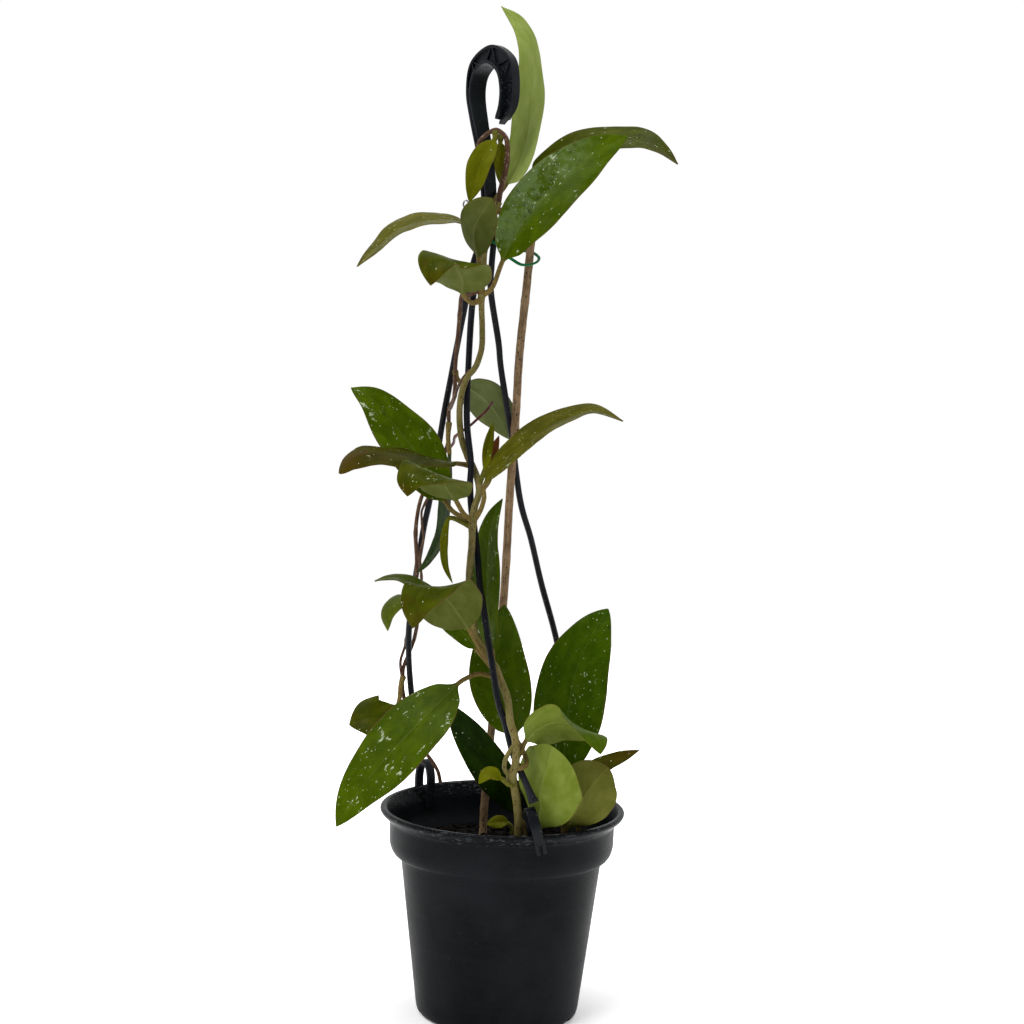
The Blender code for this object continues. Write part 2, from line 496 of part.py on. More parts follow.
def make_clip(name, angle, lean):
    """A flat strap bent over the rim, with a slot that splits the end of its outer leg."""
    legs = ((61.2, 0, 108), (61.2, 0, 118), (61.4, 0, 126), (63.0, 0, 132), (66.4, 0, 135), (69.8, 0, 132),
            (71.5, 0, 126), (71.6, 0, 118), (71.6, 0, 110))
    curve = [Vector(p) for p in legs]
    turn = Matrix.Rotation(radians(angle), 4, "Z")
    pivot = Vector((66, 0, POT_HEIGHT))
    tilt = Matrix.Translation(pivot) @ Matrix.Rotation(radians(lean), 4, "X") @ Matrix.Translation(-pivot)
    rings = []
    for point, along in zip(curve, tangents(curve)):
        out = Vector((along.z, 0, -along.x))
        rings.append([turn @ tilt @ (point + out * half + Vector((0, side, 0)))
                      for half, side in ((-1, -2.8), (1, -2.8), (1, 2.8), (-1, 2.8))])
    clip = add_object(name, loft(rings), "plastic", 0.4)
    slot = turn @ tilt @ Matrix.Translation((71.6, 0, 110))
    combine(clip, helper(box("slot", (4, 1.8, 12), slot)), "DIFFERENCE")
    return clip


# -- plant ------------------------------------------------------------------------------------------

def main_radius(share, point):
    """The stem thins towards its top and swells at each node."""
    radius = STEM_RADIUS * (1 - 0.35 * share)
    nearest = min(abs(point.z - height) for height in KNUCKLE_HEIGHTS)
    return radius * (1 + (KNUCKLE - 1) * max(0.0, 1 - nearest / 6))


def taper(base, tip):
    return lambda share, point: base + (tip - base) * share


STEMS = {  # host name: route and radius
    "main_stem": (MAIN_STEM, main_radius),
    "tip_shoot": (TIP_SHOOT, taper(1.6, 1.2)),
    "vine": (VINE, taper(1.1, 1.2)),
}

BLADE_ACROSS = (-1, -0.5, 0, 0.5, 1)
BLADE_BASE = 0.65  # how fast a blade widens from its stalk
BLADE_STEPS = 8
BLADE_OPENS = 0.08  # share of the blade over which the round stalk flattens out


def blade_share(along, point):
    """Half width at a share of the blade's length, where 1 is the widest part."""
    widest = BLADE_BASE / (BLADE_BASE + point)
    peak = widest ** BLADE_BASE * (1 - widest) ** point
    return max(0.0, along) ** BLADE_BASE * max(0.0, 1 - along) ** point / peak


def leaf_path(leaf):
    """Evenly spaced points along the stalk and then along the blade, with each one's share of the blade."""
    fine = 8
    curve = smooth(leaf.route, fine)
    runs = [0.0]
    for a, b in zip(curve, curve[1:]):
        runs.append(runs[-1] + (b - a).length)
    base = runs[(leaf.stalk - 1) * fine]
    stalk_steps = max(2, min(5, round(base / 8)))
    wanted = [base * i / stalk_steps for i in range(stalk_steps)]
    wanted += [base + (runs[-1] - base) * i / BLADE_STEPS for i in range(BLADE_STEPS + 1)]
    path = []
    for want in wanted:
        i = max(1, next((k for k, run in enumerate(runs) if run >= want - 1e-6), len(runs) - 1))
        step = (want - runs[i - 1]) / (runs[i] - runs[i - 1])
        path.append((curve[i - 1].lerp(curve[i], step), (want - base) / (runs[-1] - base)))
    return path


def leaf_ring(leaf, point, along, share):
    """Ten points, round on the stalk and opening out into a thin folded blade."""
    look = Vector(leaf.face).lerp(Vector(leaf.tip_face), min(1.0, max(0.0, share)) ** leaf.turn)
    normal = (look - along * look.dot(along)).normalized()
    across = along.cross(normal)
    half = max(leaf.width / 2 * blade_share(min(share, 0.985), leaf.point), 0.5)
    opened = min(1.0, max(0.0, share / BLADE_OPENS))
    ring = []
    for j in range(10):
        side = BLADE_ACROSS[j] if j < 5 else BLADE_ACROSS[9 - j]
        turn = pi - (j + 0.5) * pi / 5
        raised = abs(side) * half * tan(radians(leaf.fold))
        flat = (side * half, raised + BLADE_THICKNESS / 2 * (1 if j < 5 else -1))
        stalk = (PETIOLE_RADIUS * cos(turn), PETIOLE_RADIUS * sin(turn))
        x, z = (opened * f + (1 - opened) * s for f, s in zip(flat, stalk))
        ring.append(point + across * x + normal * z)
    return ring


def make_leaf(leaf):
    path = leaf_path(leaf)
    points = [point for point, _ in path]
    rings = [leaf_ring(leaf, point, along, share) for (point, share), along in zip(path, tangents(points))]
    obj = add_object(leaf.name, loft(rings), leaf.colour, 0.35)
    if leaf.host:
        for route, radius in STEMS.values():
            carve(obj, route, radius)
    return obj


def make_stems():
    stem = tube("main_stem", MAIN_STEM, main_radius, "stem", sides=7)
    combine(stem, tube("loop", KNOT_LOOP, 1.3, "stem", sides=6), "UNION")
    shoot = tube("tip_shoot", TIP_SHOOT, STEMS["tip_shoot"][1], "vine")
    carve(shoot, MAIN_STEM, main_radius)
    vine = tube("vine", VINE, STEMS["vine"][1], "vine", sides=5)
    carve(vine, MAIN_STEM, main_radius)
    tendril = tube("tendril", TENDRIL, taper(0.9, 0.7), "tendril", sides=6)
    carve(tendril, VINE, STEMS["vine"][1])
    stub = tube("side_vine", SIDE_VINE, 0.9, "vine", sides=6)
    carve(stub, MAIN_STEM, main_radius)
    carve(stub, VINE, STEMS["vine"][1])
    tube("cane", CANE, CANE_RADIUS, "cane", sides=8)


def main():
    for obj in list(bpy.data.objects):
        bpy.data.objects.remove(obj)
    make_pot()
    make_soil()
    make_hook()
    for name, route in STRANDS.items():
        tube(name, route, STRAND_RADIUS, "plastic", sides=6, roughness=0.4)
    for name, (angle, lean) in CLIPS.items():
        make_clip(name, angle, lean)
    make_stems()
    tube("twist_tie", TIE, 0.7, "tie", sides=6)
    tube("tie_wire", WIRE, 0.5, "wire", sides=5, roughness=0.3)
    for leaf in LEAVES:
        make_leaf(leaf)


main()
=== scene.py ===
"""Looks of a young hoya that climbs the plastic hanger clipped to its nursery pot.

Lengths in the tables are millimetres, meshes are made in metres. +Z is up, the origin is the centre of the
pot's foot, and the hanger's long front strand is on the -Y side.
"""

import logging
from dataclasses import dataclass
from enum import Enum
from functools import partialmethod
from math import cos, pi, radians, sin

import bpy
import numpy as np
from mathutils import Matrix, Vector


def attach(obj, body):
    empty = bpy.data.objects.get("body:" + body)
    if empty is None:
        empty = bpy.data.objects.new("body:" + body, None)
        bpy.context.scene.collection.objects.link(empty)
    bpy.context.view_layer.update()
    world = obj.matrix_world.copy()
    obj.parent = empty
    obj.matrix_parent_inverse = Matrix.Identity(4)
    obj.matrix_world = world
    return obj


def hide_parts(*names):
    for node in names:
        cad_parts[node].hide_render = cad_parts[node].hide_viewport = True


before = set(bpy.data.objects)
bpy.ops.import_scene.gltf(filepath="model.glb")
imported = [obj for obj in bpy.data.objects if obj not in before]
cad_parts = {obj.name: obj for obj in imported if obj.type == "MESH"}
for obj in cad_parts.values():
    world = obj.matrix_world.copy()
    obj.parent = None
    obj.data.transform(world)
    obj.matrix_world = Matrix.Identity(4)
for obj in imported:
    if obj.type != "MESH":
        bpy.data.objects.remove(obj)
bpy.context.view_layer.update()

Array = np.ndarray
Triple = tuple[float, float, float]
Route = tuple[Triple, ...]

MM = 0.001
CM = 0.1  # patterns are laid out in centimetres
LOG = logging.getLogger("hoya")


# -- curves and surfaces ------------------------------------------------------------------------------

def unit(vectors: Array) -> Array:
    """Vectors divided by their own lengths."""
    return vectors / np.maximum(np.linalg.norm(vectors, axis=-1, keepdims=True), 1e-12)


def step_between(value: Array, low: float, high: float) -> Array:
    """0 below low, 1 above high and 3x^2 - 2x^3 between them."""
    share = np.clip((value - low) / (high - low), 0, 1)
    return share * share * (3 - 2 * share)


def smooth(points: Route, steps: int) -> Array:
    """Curve through every point: on each span a cubic whose end slopes are half the step between neighbours.

    Args:
        points: Points to pass through.
        steps: Steps from each point to the next.

    Returns:
        Points of the curve, one row each.
    """
    knots = np.array(points, float)
    knots = np.vstack([2 * knots[0] - knots[1], knots, 2 * knots[-1] - knots[-2]])
    p0, p1, p2, p3 = (knots[k:len(knots) - 3 + k, None] for k in range(4))
    t = (np.arange(steps) / steps)[None, :, None]
    spans = 0.5 * (2 * p1 + t * (p2 - p0) + t ** 2 * (2 * p0 - 5 * p1 + 4 * p2 - p3)
                   + t ** 3 * (3 * p1 - p0 - 3 * p2 + p3))
    return np.vstack([spans.reshape(-1, 3), knots[-2]])


def run_lengths(curve: Array) -> Array:
    """Distance along the curve to each of its points."""
    return np.concatenate([[0.0], np.cumsum(np.linalg.norm(np.diff(curve, axis=0), axis=1))])


def at_distance(curve: Array, distances: Array) -> Array:
    """Points of the curve at these distances along it."""
    runs = run_lengths(curve)
    return np.stack([np.interp(distances, runs, curve[:, k]) for k in range(3)], axis=1)


def tangents(curve: Array) -> Array:
    """Directions of travel, from each point's neighbours."""
    return unit(np.gradient(curve, axis=0))


def ripple(a: Array, b: Array, seed: int, waves: int = 5) -> Array:
    """Gentle unevenness between -1 and 1: a mean of sine waves in two parameters with seeded directions.

    Args:
        a: First parameter, where 1 is about one wave.
        b: Second parameter, on the same scale.
        seed: Chooses the directions and phases.
        waves: How many sine waves are averaged.

    Returns:
        One value for each pair of parameters.
    """
    dice = np.random.default_rng(seed)
    total = np.zeros(np.broadcast(a, b).shape)
    for _ in range(waves):
        turn, rate, phase = dice.uniform(0, 2 * pi), dice.uniform(0.6, 1.7), dice.uniform(0, 2 * pi)
        total += np.sin(2 * pi * rate * (a * cos(turn) + b * sin(turn)) + phase)
    return total / waves


@dataclass
class Shell:
    """A closed surface: points, faces and the two coordinate fields that its pattern reads."""

    points: Array
    quads: Array
    triangles: Array
    flow: Array  # lies along the surface, in millimetres
    blade: Array  # shares: across, along and upper side

    @classmethod
    def from_grid(cls, grid: Array, flow: Array, blade: Array | None = None, flip: bool = False) -> "Shell":
        """Closes a grid of rings round its columns, and each end with a fan to the middle of its ring.

        Args:
            grid: Points, shaped rings x columns x 3.
            flow: Pattern coordinates of the same shape.
            blade: Second pattern coordinates of the same shape, or None for zeros.
            flip: True where the rings run clockwise about the direction of travel.

        Returns:
            The closed surface.
        """
        rows, columns = grid.shape[:2]
        blade = np.zeros_like(grid) if blade is None else blade
        fields = [np.vstack([f.reshape(-1, 3), f[0].mean(axis=0), f[-1].mean(axis=0)])
                  for f in (grid, flow, blade)]
        i, j = np.meshgrid(np.arange(rows - 1), np.arange(columns), indexing="ij")
        near, far = i * columns + j, i * columns + (j + 1) % columns
        quads = np.stack([near, far, far + columns, near + columns], axis=-1).reshape(-1, 4)
        k = np.arange(columns)
        after = (k + 1) % columns
        foot, tip, last = rows * columns, rows * columns + 1, (rows - 1) * columns
        triangles = np.vstack([np.stack([after, k, np.full(columns, foot)], axis=1),
                               np.stack([last + k, last + after, np.full(columns, tip)], axis=1)])
        if flip:
            quads, triangles = quads[:, ::-1], triangles[:, ::-1]
        return cls(fields[0], quads, triangles, fields[1], fields[2])

    @classmethod
    def joined(cls, shells: list["Shell"]) -> "Shell":
        """Several shells as one.

        Args:
            shells: The surfaces.

        Returns:
            One surface with all their faces.
        """
        starts = np.cumsum([0] + [len(shell.points) for shell in shells[:-1]])
        return cls(np.vstack([s.points for s in shells]),
                   np.vstack([s.quads + start for s, start in zip(shells, starts)]),
                   np.vstack([s.triangles + start for s, start in zip(shells, starts)]),
                   np.vstack([s.flow for s in shells]), np.vstack([s.blade for s in shells]))

    def repeated(self, points: Array) -> "Shell":
        """Copies of this surface, each with points of its own.

        Args:
            points: Points of the copies, shaped copies x points x 3.

        Returns:
            All the copies as one surface.
        """
        starts = (np.arange(len(points)) * len(self.points))[:, None, None]
        flat = points.reshape(-1, 3)
        return Shell(flat, (self.quads + starts).reshape(-1, 4), (self.triangles + starts).reshape(-1, 3),
                     flat, 0 * flat)

    def mesh(self, name: str) -> bpy.types.Mesh:
        """The surface as a mesh, in metres.

        Args:
            name: Name of the mesh.

        Returns:
            The mesh, still without a finish.
        """
        mesh = bpy.data.meshes.new(name)
        mesh.from_pydata((self.points * MM).tolist(), [], self.quads.tolist() + self.triangles.tolist())
        return mesh

    def piece(self, name: str, finish: "Finish", slot: str,
              replaces: tuple[str, ...] = ()) -> bpy.types.Object:
        """Puts the surface into the scene as a finished piece that rides with the object.

        Args:
            name: Name of the piece.
            finish: Its finish.
            slot: Not used.
            replaces: Nodes that it stands for.

        Returns:
            The new object.
        """
        mesh = self.mesh(name)
        for label, values in (("flow", self.flow * CM), ("blade", self.blade)):
            layer = mesh.attributes.new(label, "FLOAT_VECTOR", "POINT")
            layer.data.foreach_set("vector", values.astype(np.float32).ravel())
        mesh.shade_smooth()
        mesh.materials.append(finish.material())
        obj = placed(name, mesh)
        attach(obj, "root")
        if replaces:
            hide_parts(*replaces)
        LOG.info("%s: %d faces", name, len(mesh.polygons))
        return obj


def placed(name: str, data: bpy.types.ID, place: Matrix = Matrix()) -> bpy.types.Object:
    """A new object in the scene, at the origin or at another place.

    Args:
        name: Its name.
        data: Its mesh, light or camera.
        place: Where its own axes go.

    Returns:
        The object.
    """
    obj = bpy.data.objects.new(name, data)
    obj.matrix_world = place
    bpy.context.scene.collection.objects.link(obj)
    return obj


def moved(points: Array, place: Matrix) -> Array:
    """Points given along the axes of a place, moved there."""
    return points @ np.array(place.to_3x3()).T + np.array(place.translation)


def rod_shell(curve: Array, radii: Array, beside: Triple, sides: int) -> Shell:
    """A round rod: circles about a path, each turned so that its first point looks beside the path.

    Args:
        curve: Points of the path.
        radii: Radius at each point, or at each point and side.
        beside: Direction that the path never takes.
        sides: Points on each circle.

    Returns:
        The rod's surface, with pattern coordinates of the straightened rod.
    """
    along = tangents(curve)
    across = unit(np.array(beside) - along * (along @ np.array(beside))[:, None])
    other = np.cross(along, across)
    turn = 2 * pi * np.arange(sides) / sides
    radii = np.broadcast_to(radii if radii.ndim == 2 else radii[:, None], (len(curve), sides))
    x, y = radii * np.cos(turn), radii * np.sin(turn)
    grid = curve[:, None] + across[:, None] * x[..., None] + other[:, None] * y[..., None]
    runs = np.broadcast_to(run_lengths(curve)[:, None], x.shape)
    return Shell.from_grid(grid, np.stack([x, y, runs], axis=-1))


def turned_shell(profile: Array, sides: int) -> Shell:
    """A solid turned about Z: each profile point (radius, height) becomes a level ring.

    Args:
        profile: (radius, height) points from the middle of the foot round to the middle of the inside.
        sides: Points on each ring.

    Returns:
        The turned surface.
    """
    turn = 2 * pi * np.arange(sides) / sides
    radius, height = profile[:, :1], profile[:, 1:]
    grid = np.stack([radius * np.cos(turn), radius * np.sin(turn), height + 0 * turn], axis=-1)
    return Shell.from_grid(grid, grid)


def rounded_corners(points: Array, cuts: int = 1) -> Array:
    """Each pass replaces a corner by points a quarter of the way along both of its sides.

    Args:
        points: Corners in order.
        cuts: Number of passes.

    Returns:
        More points between the same two ends.
    """
    for _ in range(cuts):
        near = 0.75 * points[:-1] + 0.25 * points[1:]
        far = 0.25 * points[:-1] + 0.75 * points[1:]
        cut = np.stack([near, far], axis=1).reshape(-1, points.shape[1])
        points = np.vstack([points[:1], cut, points[-1:]])
    return points


# -- finishes -----------------------------------------------------------------------------------------

class Signal:
    """What a material works out at each point: a number, a vector or a colour. Arithmetic adds nodes."""

    def __init__(self, graph: "Graph", socket: bpy.types.NodeSocket) -> None:
        """Takes the graph that it belongs to and the output that carries it."""
        self.graph, self.socket = graph, socket

    def other(self, output: str) -> "Signal":
        """Another output of the same node."""
        return Signal(self.graph, self.socket.node.outputs[output])

    def calc(self, operation: str, b: "Signal | float" = 0.0, c: "Signal | float" = 0.0) -> "Signal":
        """The result of an operation on this number and up to two more."""
        return self.graph.node("Math", {0: self, 1: b, 2: c}, operation=operation)

    __abs__ = partialmethod(calc, "ABSOLUTE")
    __add__ = partialmethod(calc, "ADD")
    __sub__ = partialmethod(calc, "SUBTRACT")
    __mul__ = partialmethod(calc, "MULTIPLY")
    __truediv__ = partialmethod(calc, "DIVIDE")
    __lt__ = partialmethod(calc, "LESS_THAN")
    __gt__ = partialmethod(calc, "GREATER_THAN")

    def ramp(self, low: float, high: float, start: float = 0.0, end: float = 1.0) -> "Signal":
        """A smooth change from start, where this number is low, to end, where it is high."""
        return self.graph.node("MapRange", {"Value": self, "From Min": low, "From Max": high, "To Min": start,
                                            "To Max": end}, interpolation_type="SMOOTHSTEP")


Feed = Signal | float | tuple[float, ...]
Feeds = dict[int | str, Feed]
COLOUR_MIX = (6, 7, 2)  # places of both colours among the mixing node's inputs, and of the result


class Graph:
    """The nodes of one material or world, each made by a short call that returns its output."""

    def __init__(self, tree: bpy.types.NodeTree) -> None:
        """Takes the tree that its nodes go into."""
        self.tree = tree

    def feed(self, node: bpy.types.Node, inputs: Feeds) -> None:
        """Links or sets the inputs of a node, by name or index.

        Args:
            node: The node.
            inputs: What goes into its inputs.
        """
        for key, value in inputs.items():
            if isinstance(value, Signal):
                self.tree.links.new(value.socket, node.inputs[key])
            else:
                node.inputs[key].default_value = value

    def node(self, kind: str, inputs: Feeds, output: int | str = 0, **settings: object) -> Signal:
        """Adds a node, sets its options, and links or sets its inputs.

        Args:
            kind: Type of node, without its common prefix.
            inputs: What goes into its inputs, by name or index.
            output: Name or index of the output that is wanted.
            **settings: Options of the node.

        Returns:
            That output.
        """
        node = self.tree.nodes.new("ShaderNode" + kind)
        for key, value in settings.items():
            setattr(node, key, value)
        self.feed(node, inputs)
        return Signal(self, node.outputs[output])

    def place(self, name: str = "") -> Signal:
        """Coordinates of a named field of the mesh, or of the object.

        Args:
            name: Name of the field, or nothing for the object's own coordinates.

        Returns:
            The coordinates.
        """
        if name:
            return self.node("Attribute", {}, "Vector", attribute_name=name)
        return self.node("TexCoord", {}, "Object")

    def parts(self, vector: Signal) -> tuple[Signal, Signal, Signal]:
        """The three components of a vector."""
        x = self.node("SeparateXYZ", {0: vector}, "X")
        return x, x.other("Y"), x.other("Z")

    def scaled(self, vector: Signal, by: Triple) -> Signal:
        """A vector with each component multiplied."""
        return self.node("VectorMath", {0: vector, 1: by}, operation="MULTIPLY")

    def noise(self, vector: Signal, scale: float, detail: float = 3, rough: float = 0.55,
              bend: float = 0.0) -> Signal:
        """Cloudy noise between 0 and 1."""
        return self.node("TexNoise", {"Vector": vector, "Scale": scale, "Detail": detail, "Roughness": rough,
                                      "Distortion": bend}, "Fac")

    def specks(self, vector: Signal, scale: float, size: float, share: float) -> Signal:
        """Dots at scattered points, each with a random pick between 0 and 1.

        A dot is on where its distance is under size times pick, and where pick is over 1 - share.

        Args:
            vector: Coordinates.
            scale: How densely the points lie.
            size: Radius of the largest dot, as a share of the points' spacing.
            share: Share of the points that carry a dot.

        Returns:
            1 inside the dots and 0 outside.
        """
        away = self.node("TexVoronoi", {"Vector": vector, "Scale": scale}, "Distance")
        pick = self.parts(away.other("Color"))[0]
        return (away < pick * size) * (pick > 1 - share)

    def mix(self, share: Signal, a: Signal | Triple, b: Signal | Triple) -> Signal:
        """A colour between a and b.

        Args:
            share: 0 for a and 1 for b.
            a: First colour.
            b: Second colour.

        Returns:
            The mixed colour.
        """
        first, second, result = COLOUR_MIX
        a, b = (c if isinstance(c, Signal) else (*c, 1) for c in (a, b))
        return self.node("Mix", {0: share, first: a, second: b}, result, data_type="RGBA")

    def tint(self, colour: Signal, mask: Signal, strength: float, other: Signal | Triple) -> Signal:
        """A colour drawn towards another by a mask times a strength."""
        return self.mix(mask * strength, colour, other)

    def blend(self, share: Signal, a: Signal | float, b: Signal | float) -> Signal:
        """A value between a and b."""
        return self.node("Mix", {0: share, 2: a, 3: b})

    def relief(self, *layers: tuple[Signal, float]) -> Signal:
        """A normal that follows heights laid one on another.

        Args:
            *layers: Each height, from the lowest layer up, with its depth in metres.

        Returns:
            The normal.
        """
        under: Feeds = {}
        for height, depth in layers:
            normal = self.node("Bump", {"Height": height, "Distance": depth, "Strength": 1.0} | under)
            under = {"Normal": normal}
        return normal


class Finish:
    """A finish that makes its material once and hands the same one out again."""

    name: str
    _made: dict[str, bpy.types.Material] = {}

    def material(self) -> bpy.types.Material:
        """The finish's material.

        Returns:
            The material.
        """
        if self.name not in Finish._made:
            material = Finish._made[self.name] = bpy.data.materials.new(self.name)
            material.use_nodes = True
            graph = Graph(material.node_tree)
            graph.feed(graph.tree.nodes["Principled BSDF"], self.shader(graph))
        return Finish._made[self.name]

    def shader(self, graph: Graph) -> Feeds:
        """Makes the nodes and says what goes into the shader's sockets.

        Args:
            graph: Where the nodes go.

        Returns:
            What goes into the shader's inputs.
        """
        raise NotImplementedError


@dataclass(frozen=True)
class LeafFinish(Finish):
    """Waxy leaf: a glossy upper side with silver flecks, a matt underside and a raised midrib."""

    name: str
    top: Triple
    top_light: Triple
    under: Triple
    under_light: Triple
    rib: Triple = (0.30, 0.36, 0.13)
    margin: Triple = (0.10, 0.055, 0.02)
    stalk: Triple = (0.16, 0.115, 0.035)
    silver: Triple = (0.34, 0.40, 0.24)
    film_sheen: Triple = (0.125, 0.185, 0.070)  # tone of the painted sheen, a lighter wash standing for light reflected by the wet upper side
    bronze: Triple = (0.050, 0.031, 0.002)
    bronze_under: Triple = (0.062, 0.045, 0.008)
    flecks: float = 0.2  # share of the upper side's patches that carry silver flecks
    specks: float = 0.2  # the same for fine dots
    blush: float = 0.0  # how far a bronze tint spreads from the tip
    painted_sheen: float = 0.0  # strength of the painted sheen on one half of the upper side
    gloss: float = 0.3
    slot: str = "leaf_deep"

    def shader(self, graph: Graph) -> Feeds:
        """Mixes both sides by the mesh's own field, then lays rib, flecks and margin over them.

        Args:
            graph: Where the nodes go.

        Returns:
            What goes into the shader's inputs.
        """
        flow = graph.place("flow")
        across, along, upper = graph.parts(graph.place("blade"))
        x, y, _ = graph.parts(flow)
        width = abs(x)

        # Side veins leave the midrib forwards: lines of constant distance along less 0.75 of that across.
        vein_run = width.calc("MULTIPLY_ADD", -0.75, y) + graph.noise(flow, 1.1, 2) * 0.5
        veins = abs((vein_run * 4.6).calc("SINE")).ramp(0.16, 0.0)
        rib = (width / along.ramp(0.0, 0.9, 0.085, 0.02)).ramp(1.0, 0.45)

        clouds = graph.noise(graph.scaled(flow, (1, 0.5, 1)), 1.6, 4)
        grain = graph.noise(flow, 30, 2)
        top = graph.mix(clouds.ramp(0.35, 0.7), self.top, self.top_light)
        top = graph.tint(top, veins, 0.05, self.rib)
        top = graph.tint(top, grain.ramp(0.35, 0.75), 0.25, self.top_light)
        top = graph.tint(top, rib, 0.06, self.rib)
        under = graph.mix(clouds.ramp(0.3, 0.75), self.under, self.under_light)
        under = graph.tint(under, grain.ramp(0.45, 0.6), 0.35, self.under_light)
        under = graph.tint(under, veins, 0.18, self.under)
        under = graph.tint(under, rib, 0.45, self.rib)
        if self.blush:
            spread = along + graph.noise(flow, 1.3, 3) * 0.8
            bronze = spread.ramp(1.25 - self.blush, 1.75 - self.blush) * 0.85
            top = graph.mix(bronze, top, self.bronze)
            under = graph.tint(under, bronze, 0.4, self.bronze_under)
        # Painted sheen: one half of the upper side is lightened in patches to stand for reflected light.
        if self.painted_sheen:
            film_sheen = across.ramp(0.35, -0.3) * along.ramp(0.02, 0.12) * along.ramp(0.9, 0.6)
            clear = graph.noise(flow, 1.3, 4, 0.7).ramp(0.38, 0.56, 0, self.painted_sheen)
            top = graph.mix(film_sheen * clear, top, self.film_sheen)

        streaks = graph.noise(graph.scaled(flow, (1, 0.42, 1)), 6.0, 4, 0.7, 0.5)
        patches = graph.noise(graph.scaled(flow, (1, 0.7, 1)), 1.5, 1)
        streak, patch = 0.61 - 0.05 * self.flecks, 0.66 - 0.08 * self.flecks
        flecks = streaks.ramp(streak, streak + 0.02) * patches.ramp(patch, patch + 0.04)
        dots = graph.specks(graph.scaled(flow, (1, 0.65, 1)), 5.5, 0.17, 0.45 * self.specks)
        top = graph.mix(flecks.calc("MAXIMUM", dots) * upper * along.ramp(0.0, 0.05), top, self.silver)

        colour = graph.tint(graph.mix(upper, under, top), abs(across).ramp(0.955, 0.995), 0.75, self.margin)
        dark_stalk = tuple(0.55 * c for c in self.stalk)
        stalk = graph.mix(graph.noise(flow, 9, 3).ramp(0.35, 0.7), self.stalk, dark_stalk)
        wet = graph.noise(flow, 2.2, 2).ramp(0.3, 0.8, self.gloss - 0.06, self.gloss + 0.1)
        skin = graph.blend(upper, grain, graph.noise(flow, 11, 3))
        return {"Base Color": graph.mix(along.ramp(0.035, -0.005), colour, stalk),
                "Roughness": graph.blend(along.ramp(0.03, 0.0), graph.blend(upper, 0.5, wet), 0.55),
                "Normal": graph.relief((skin, 0.00012), (veins * (upper * -1 + 1), 0.00006)),
                "Specular IOR Level": 0.02}


@dataclass(frozen=True)
class StemFinish(Finish):
    """Stem skin or dry cane: two colours streaked along the rod, dark dots and lengthwise ridges."""

    name: str
    base: Triple
    second: Triple
    dots: Triple
    dotted: float = 0.5  # share of the scattered points that show
    roughness: float = 0.55
    stretch: float = 0.25  # how much the streaks are drawn out along the rod
    depth: float = 0.00025

    def shader(self, graph: Graph) -> Feeds:
        """Streaks and dots in the coordinates of the straightened rod.

        Args:
            graph: Where the nodes go.

        Returns:
            What goes into the shader's inputs.
        """
        flow = graph.place("flow")
        streaks = graph.noise(graph.scaled(flow, (1, 1, self.stretch)), 9, 5, 0.65)
        share = streaks * 0.6 + graph.noise(flow, 0.9, 3) * 0.4
        colour = graph.mix(share.ramp(0.38, 0.62), self.base, self.second)
        dots = graph.specks(graph.scaled(flow, (1, 1, 0.6)), 9, 0.42, self.dotted)
        return {"Base Color": graph.tint(colour, dots, 0.8, self.dots),
                "Roughness": streaks.ramp(0.3, 0.7, self.roughness - 0.1, self.roughness + 0.12),
                "Normal": graph.relief((streaks, self.depth), (dots, self.depth * 0.4)),
                "Specular IOR Level": 0.12}


@dataclass(frozen=True)
class PlasticFinish(Finish):
    """Moulded plastic with pale dust, fine scratches and a little orange peel."""

    name: str
    base: Triple
    bloom: Triple  # the greyer tone of handled and dusty areas
    dust: float = 0.3
    roughness: float = 0.35
    peel: float = 0.00005
    streak: Triple = (1.0, 1.0, 1.0)
    speck: Triple = (0.26, 0.25, 0.22)

    def shader(self, graph: Graph) -> Feeds:
        """Cloudy bloom, sparse dust and scuffs on object coordinates.

        Args:
            graph: Where the nodes go.

        Returns:
            What goes into the shader's inputs.
        """
        place = graph.place()
        clouds = graph.noise(graph.scaled(place, self.streak), 28, 4, 0.6)
        scuffs = graph.noise(graph.scaled(place, (1, 1, 5)), 190, 4, 0.7, 0.6)
        colour = graph.mix(clouds.ramp(0.36, 0.72), self.base, self.bloom)
        colour = graph.tint(colour, scuffs.ramp(0.6, 0.72), 0.25, self.bloom)
        return {"Base Color": graph.tint(colour, graph.specks(place, 420, 0.2, self.dust), 0.2, self.speck),
                "Roughness": (clouds.ramp(0.3, 0.75, self.roughness - 0.05, self.roughness + 0.1)
                              + scuffs.ramp(0.5, 0.75) * 0.18),
                "Normal": graph.relief((graph.noise(place, 900, 3, 0.6), self.peel),
                                       (scuffs, self.peel * 1.5)),
                "Specular IOR Level": 0.12}


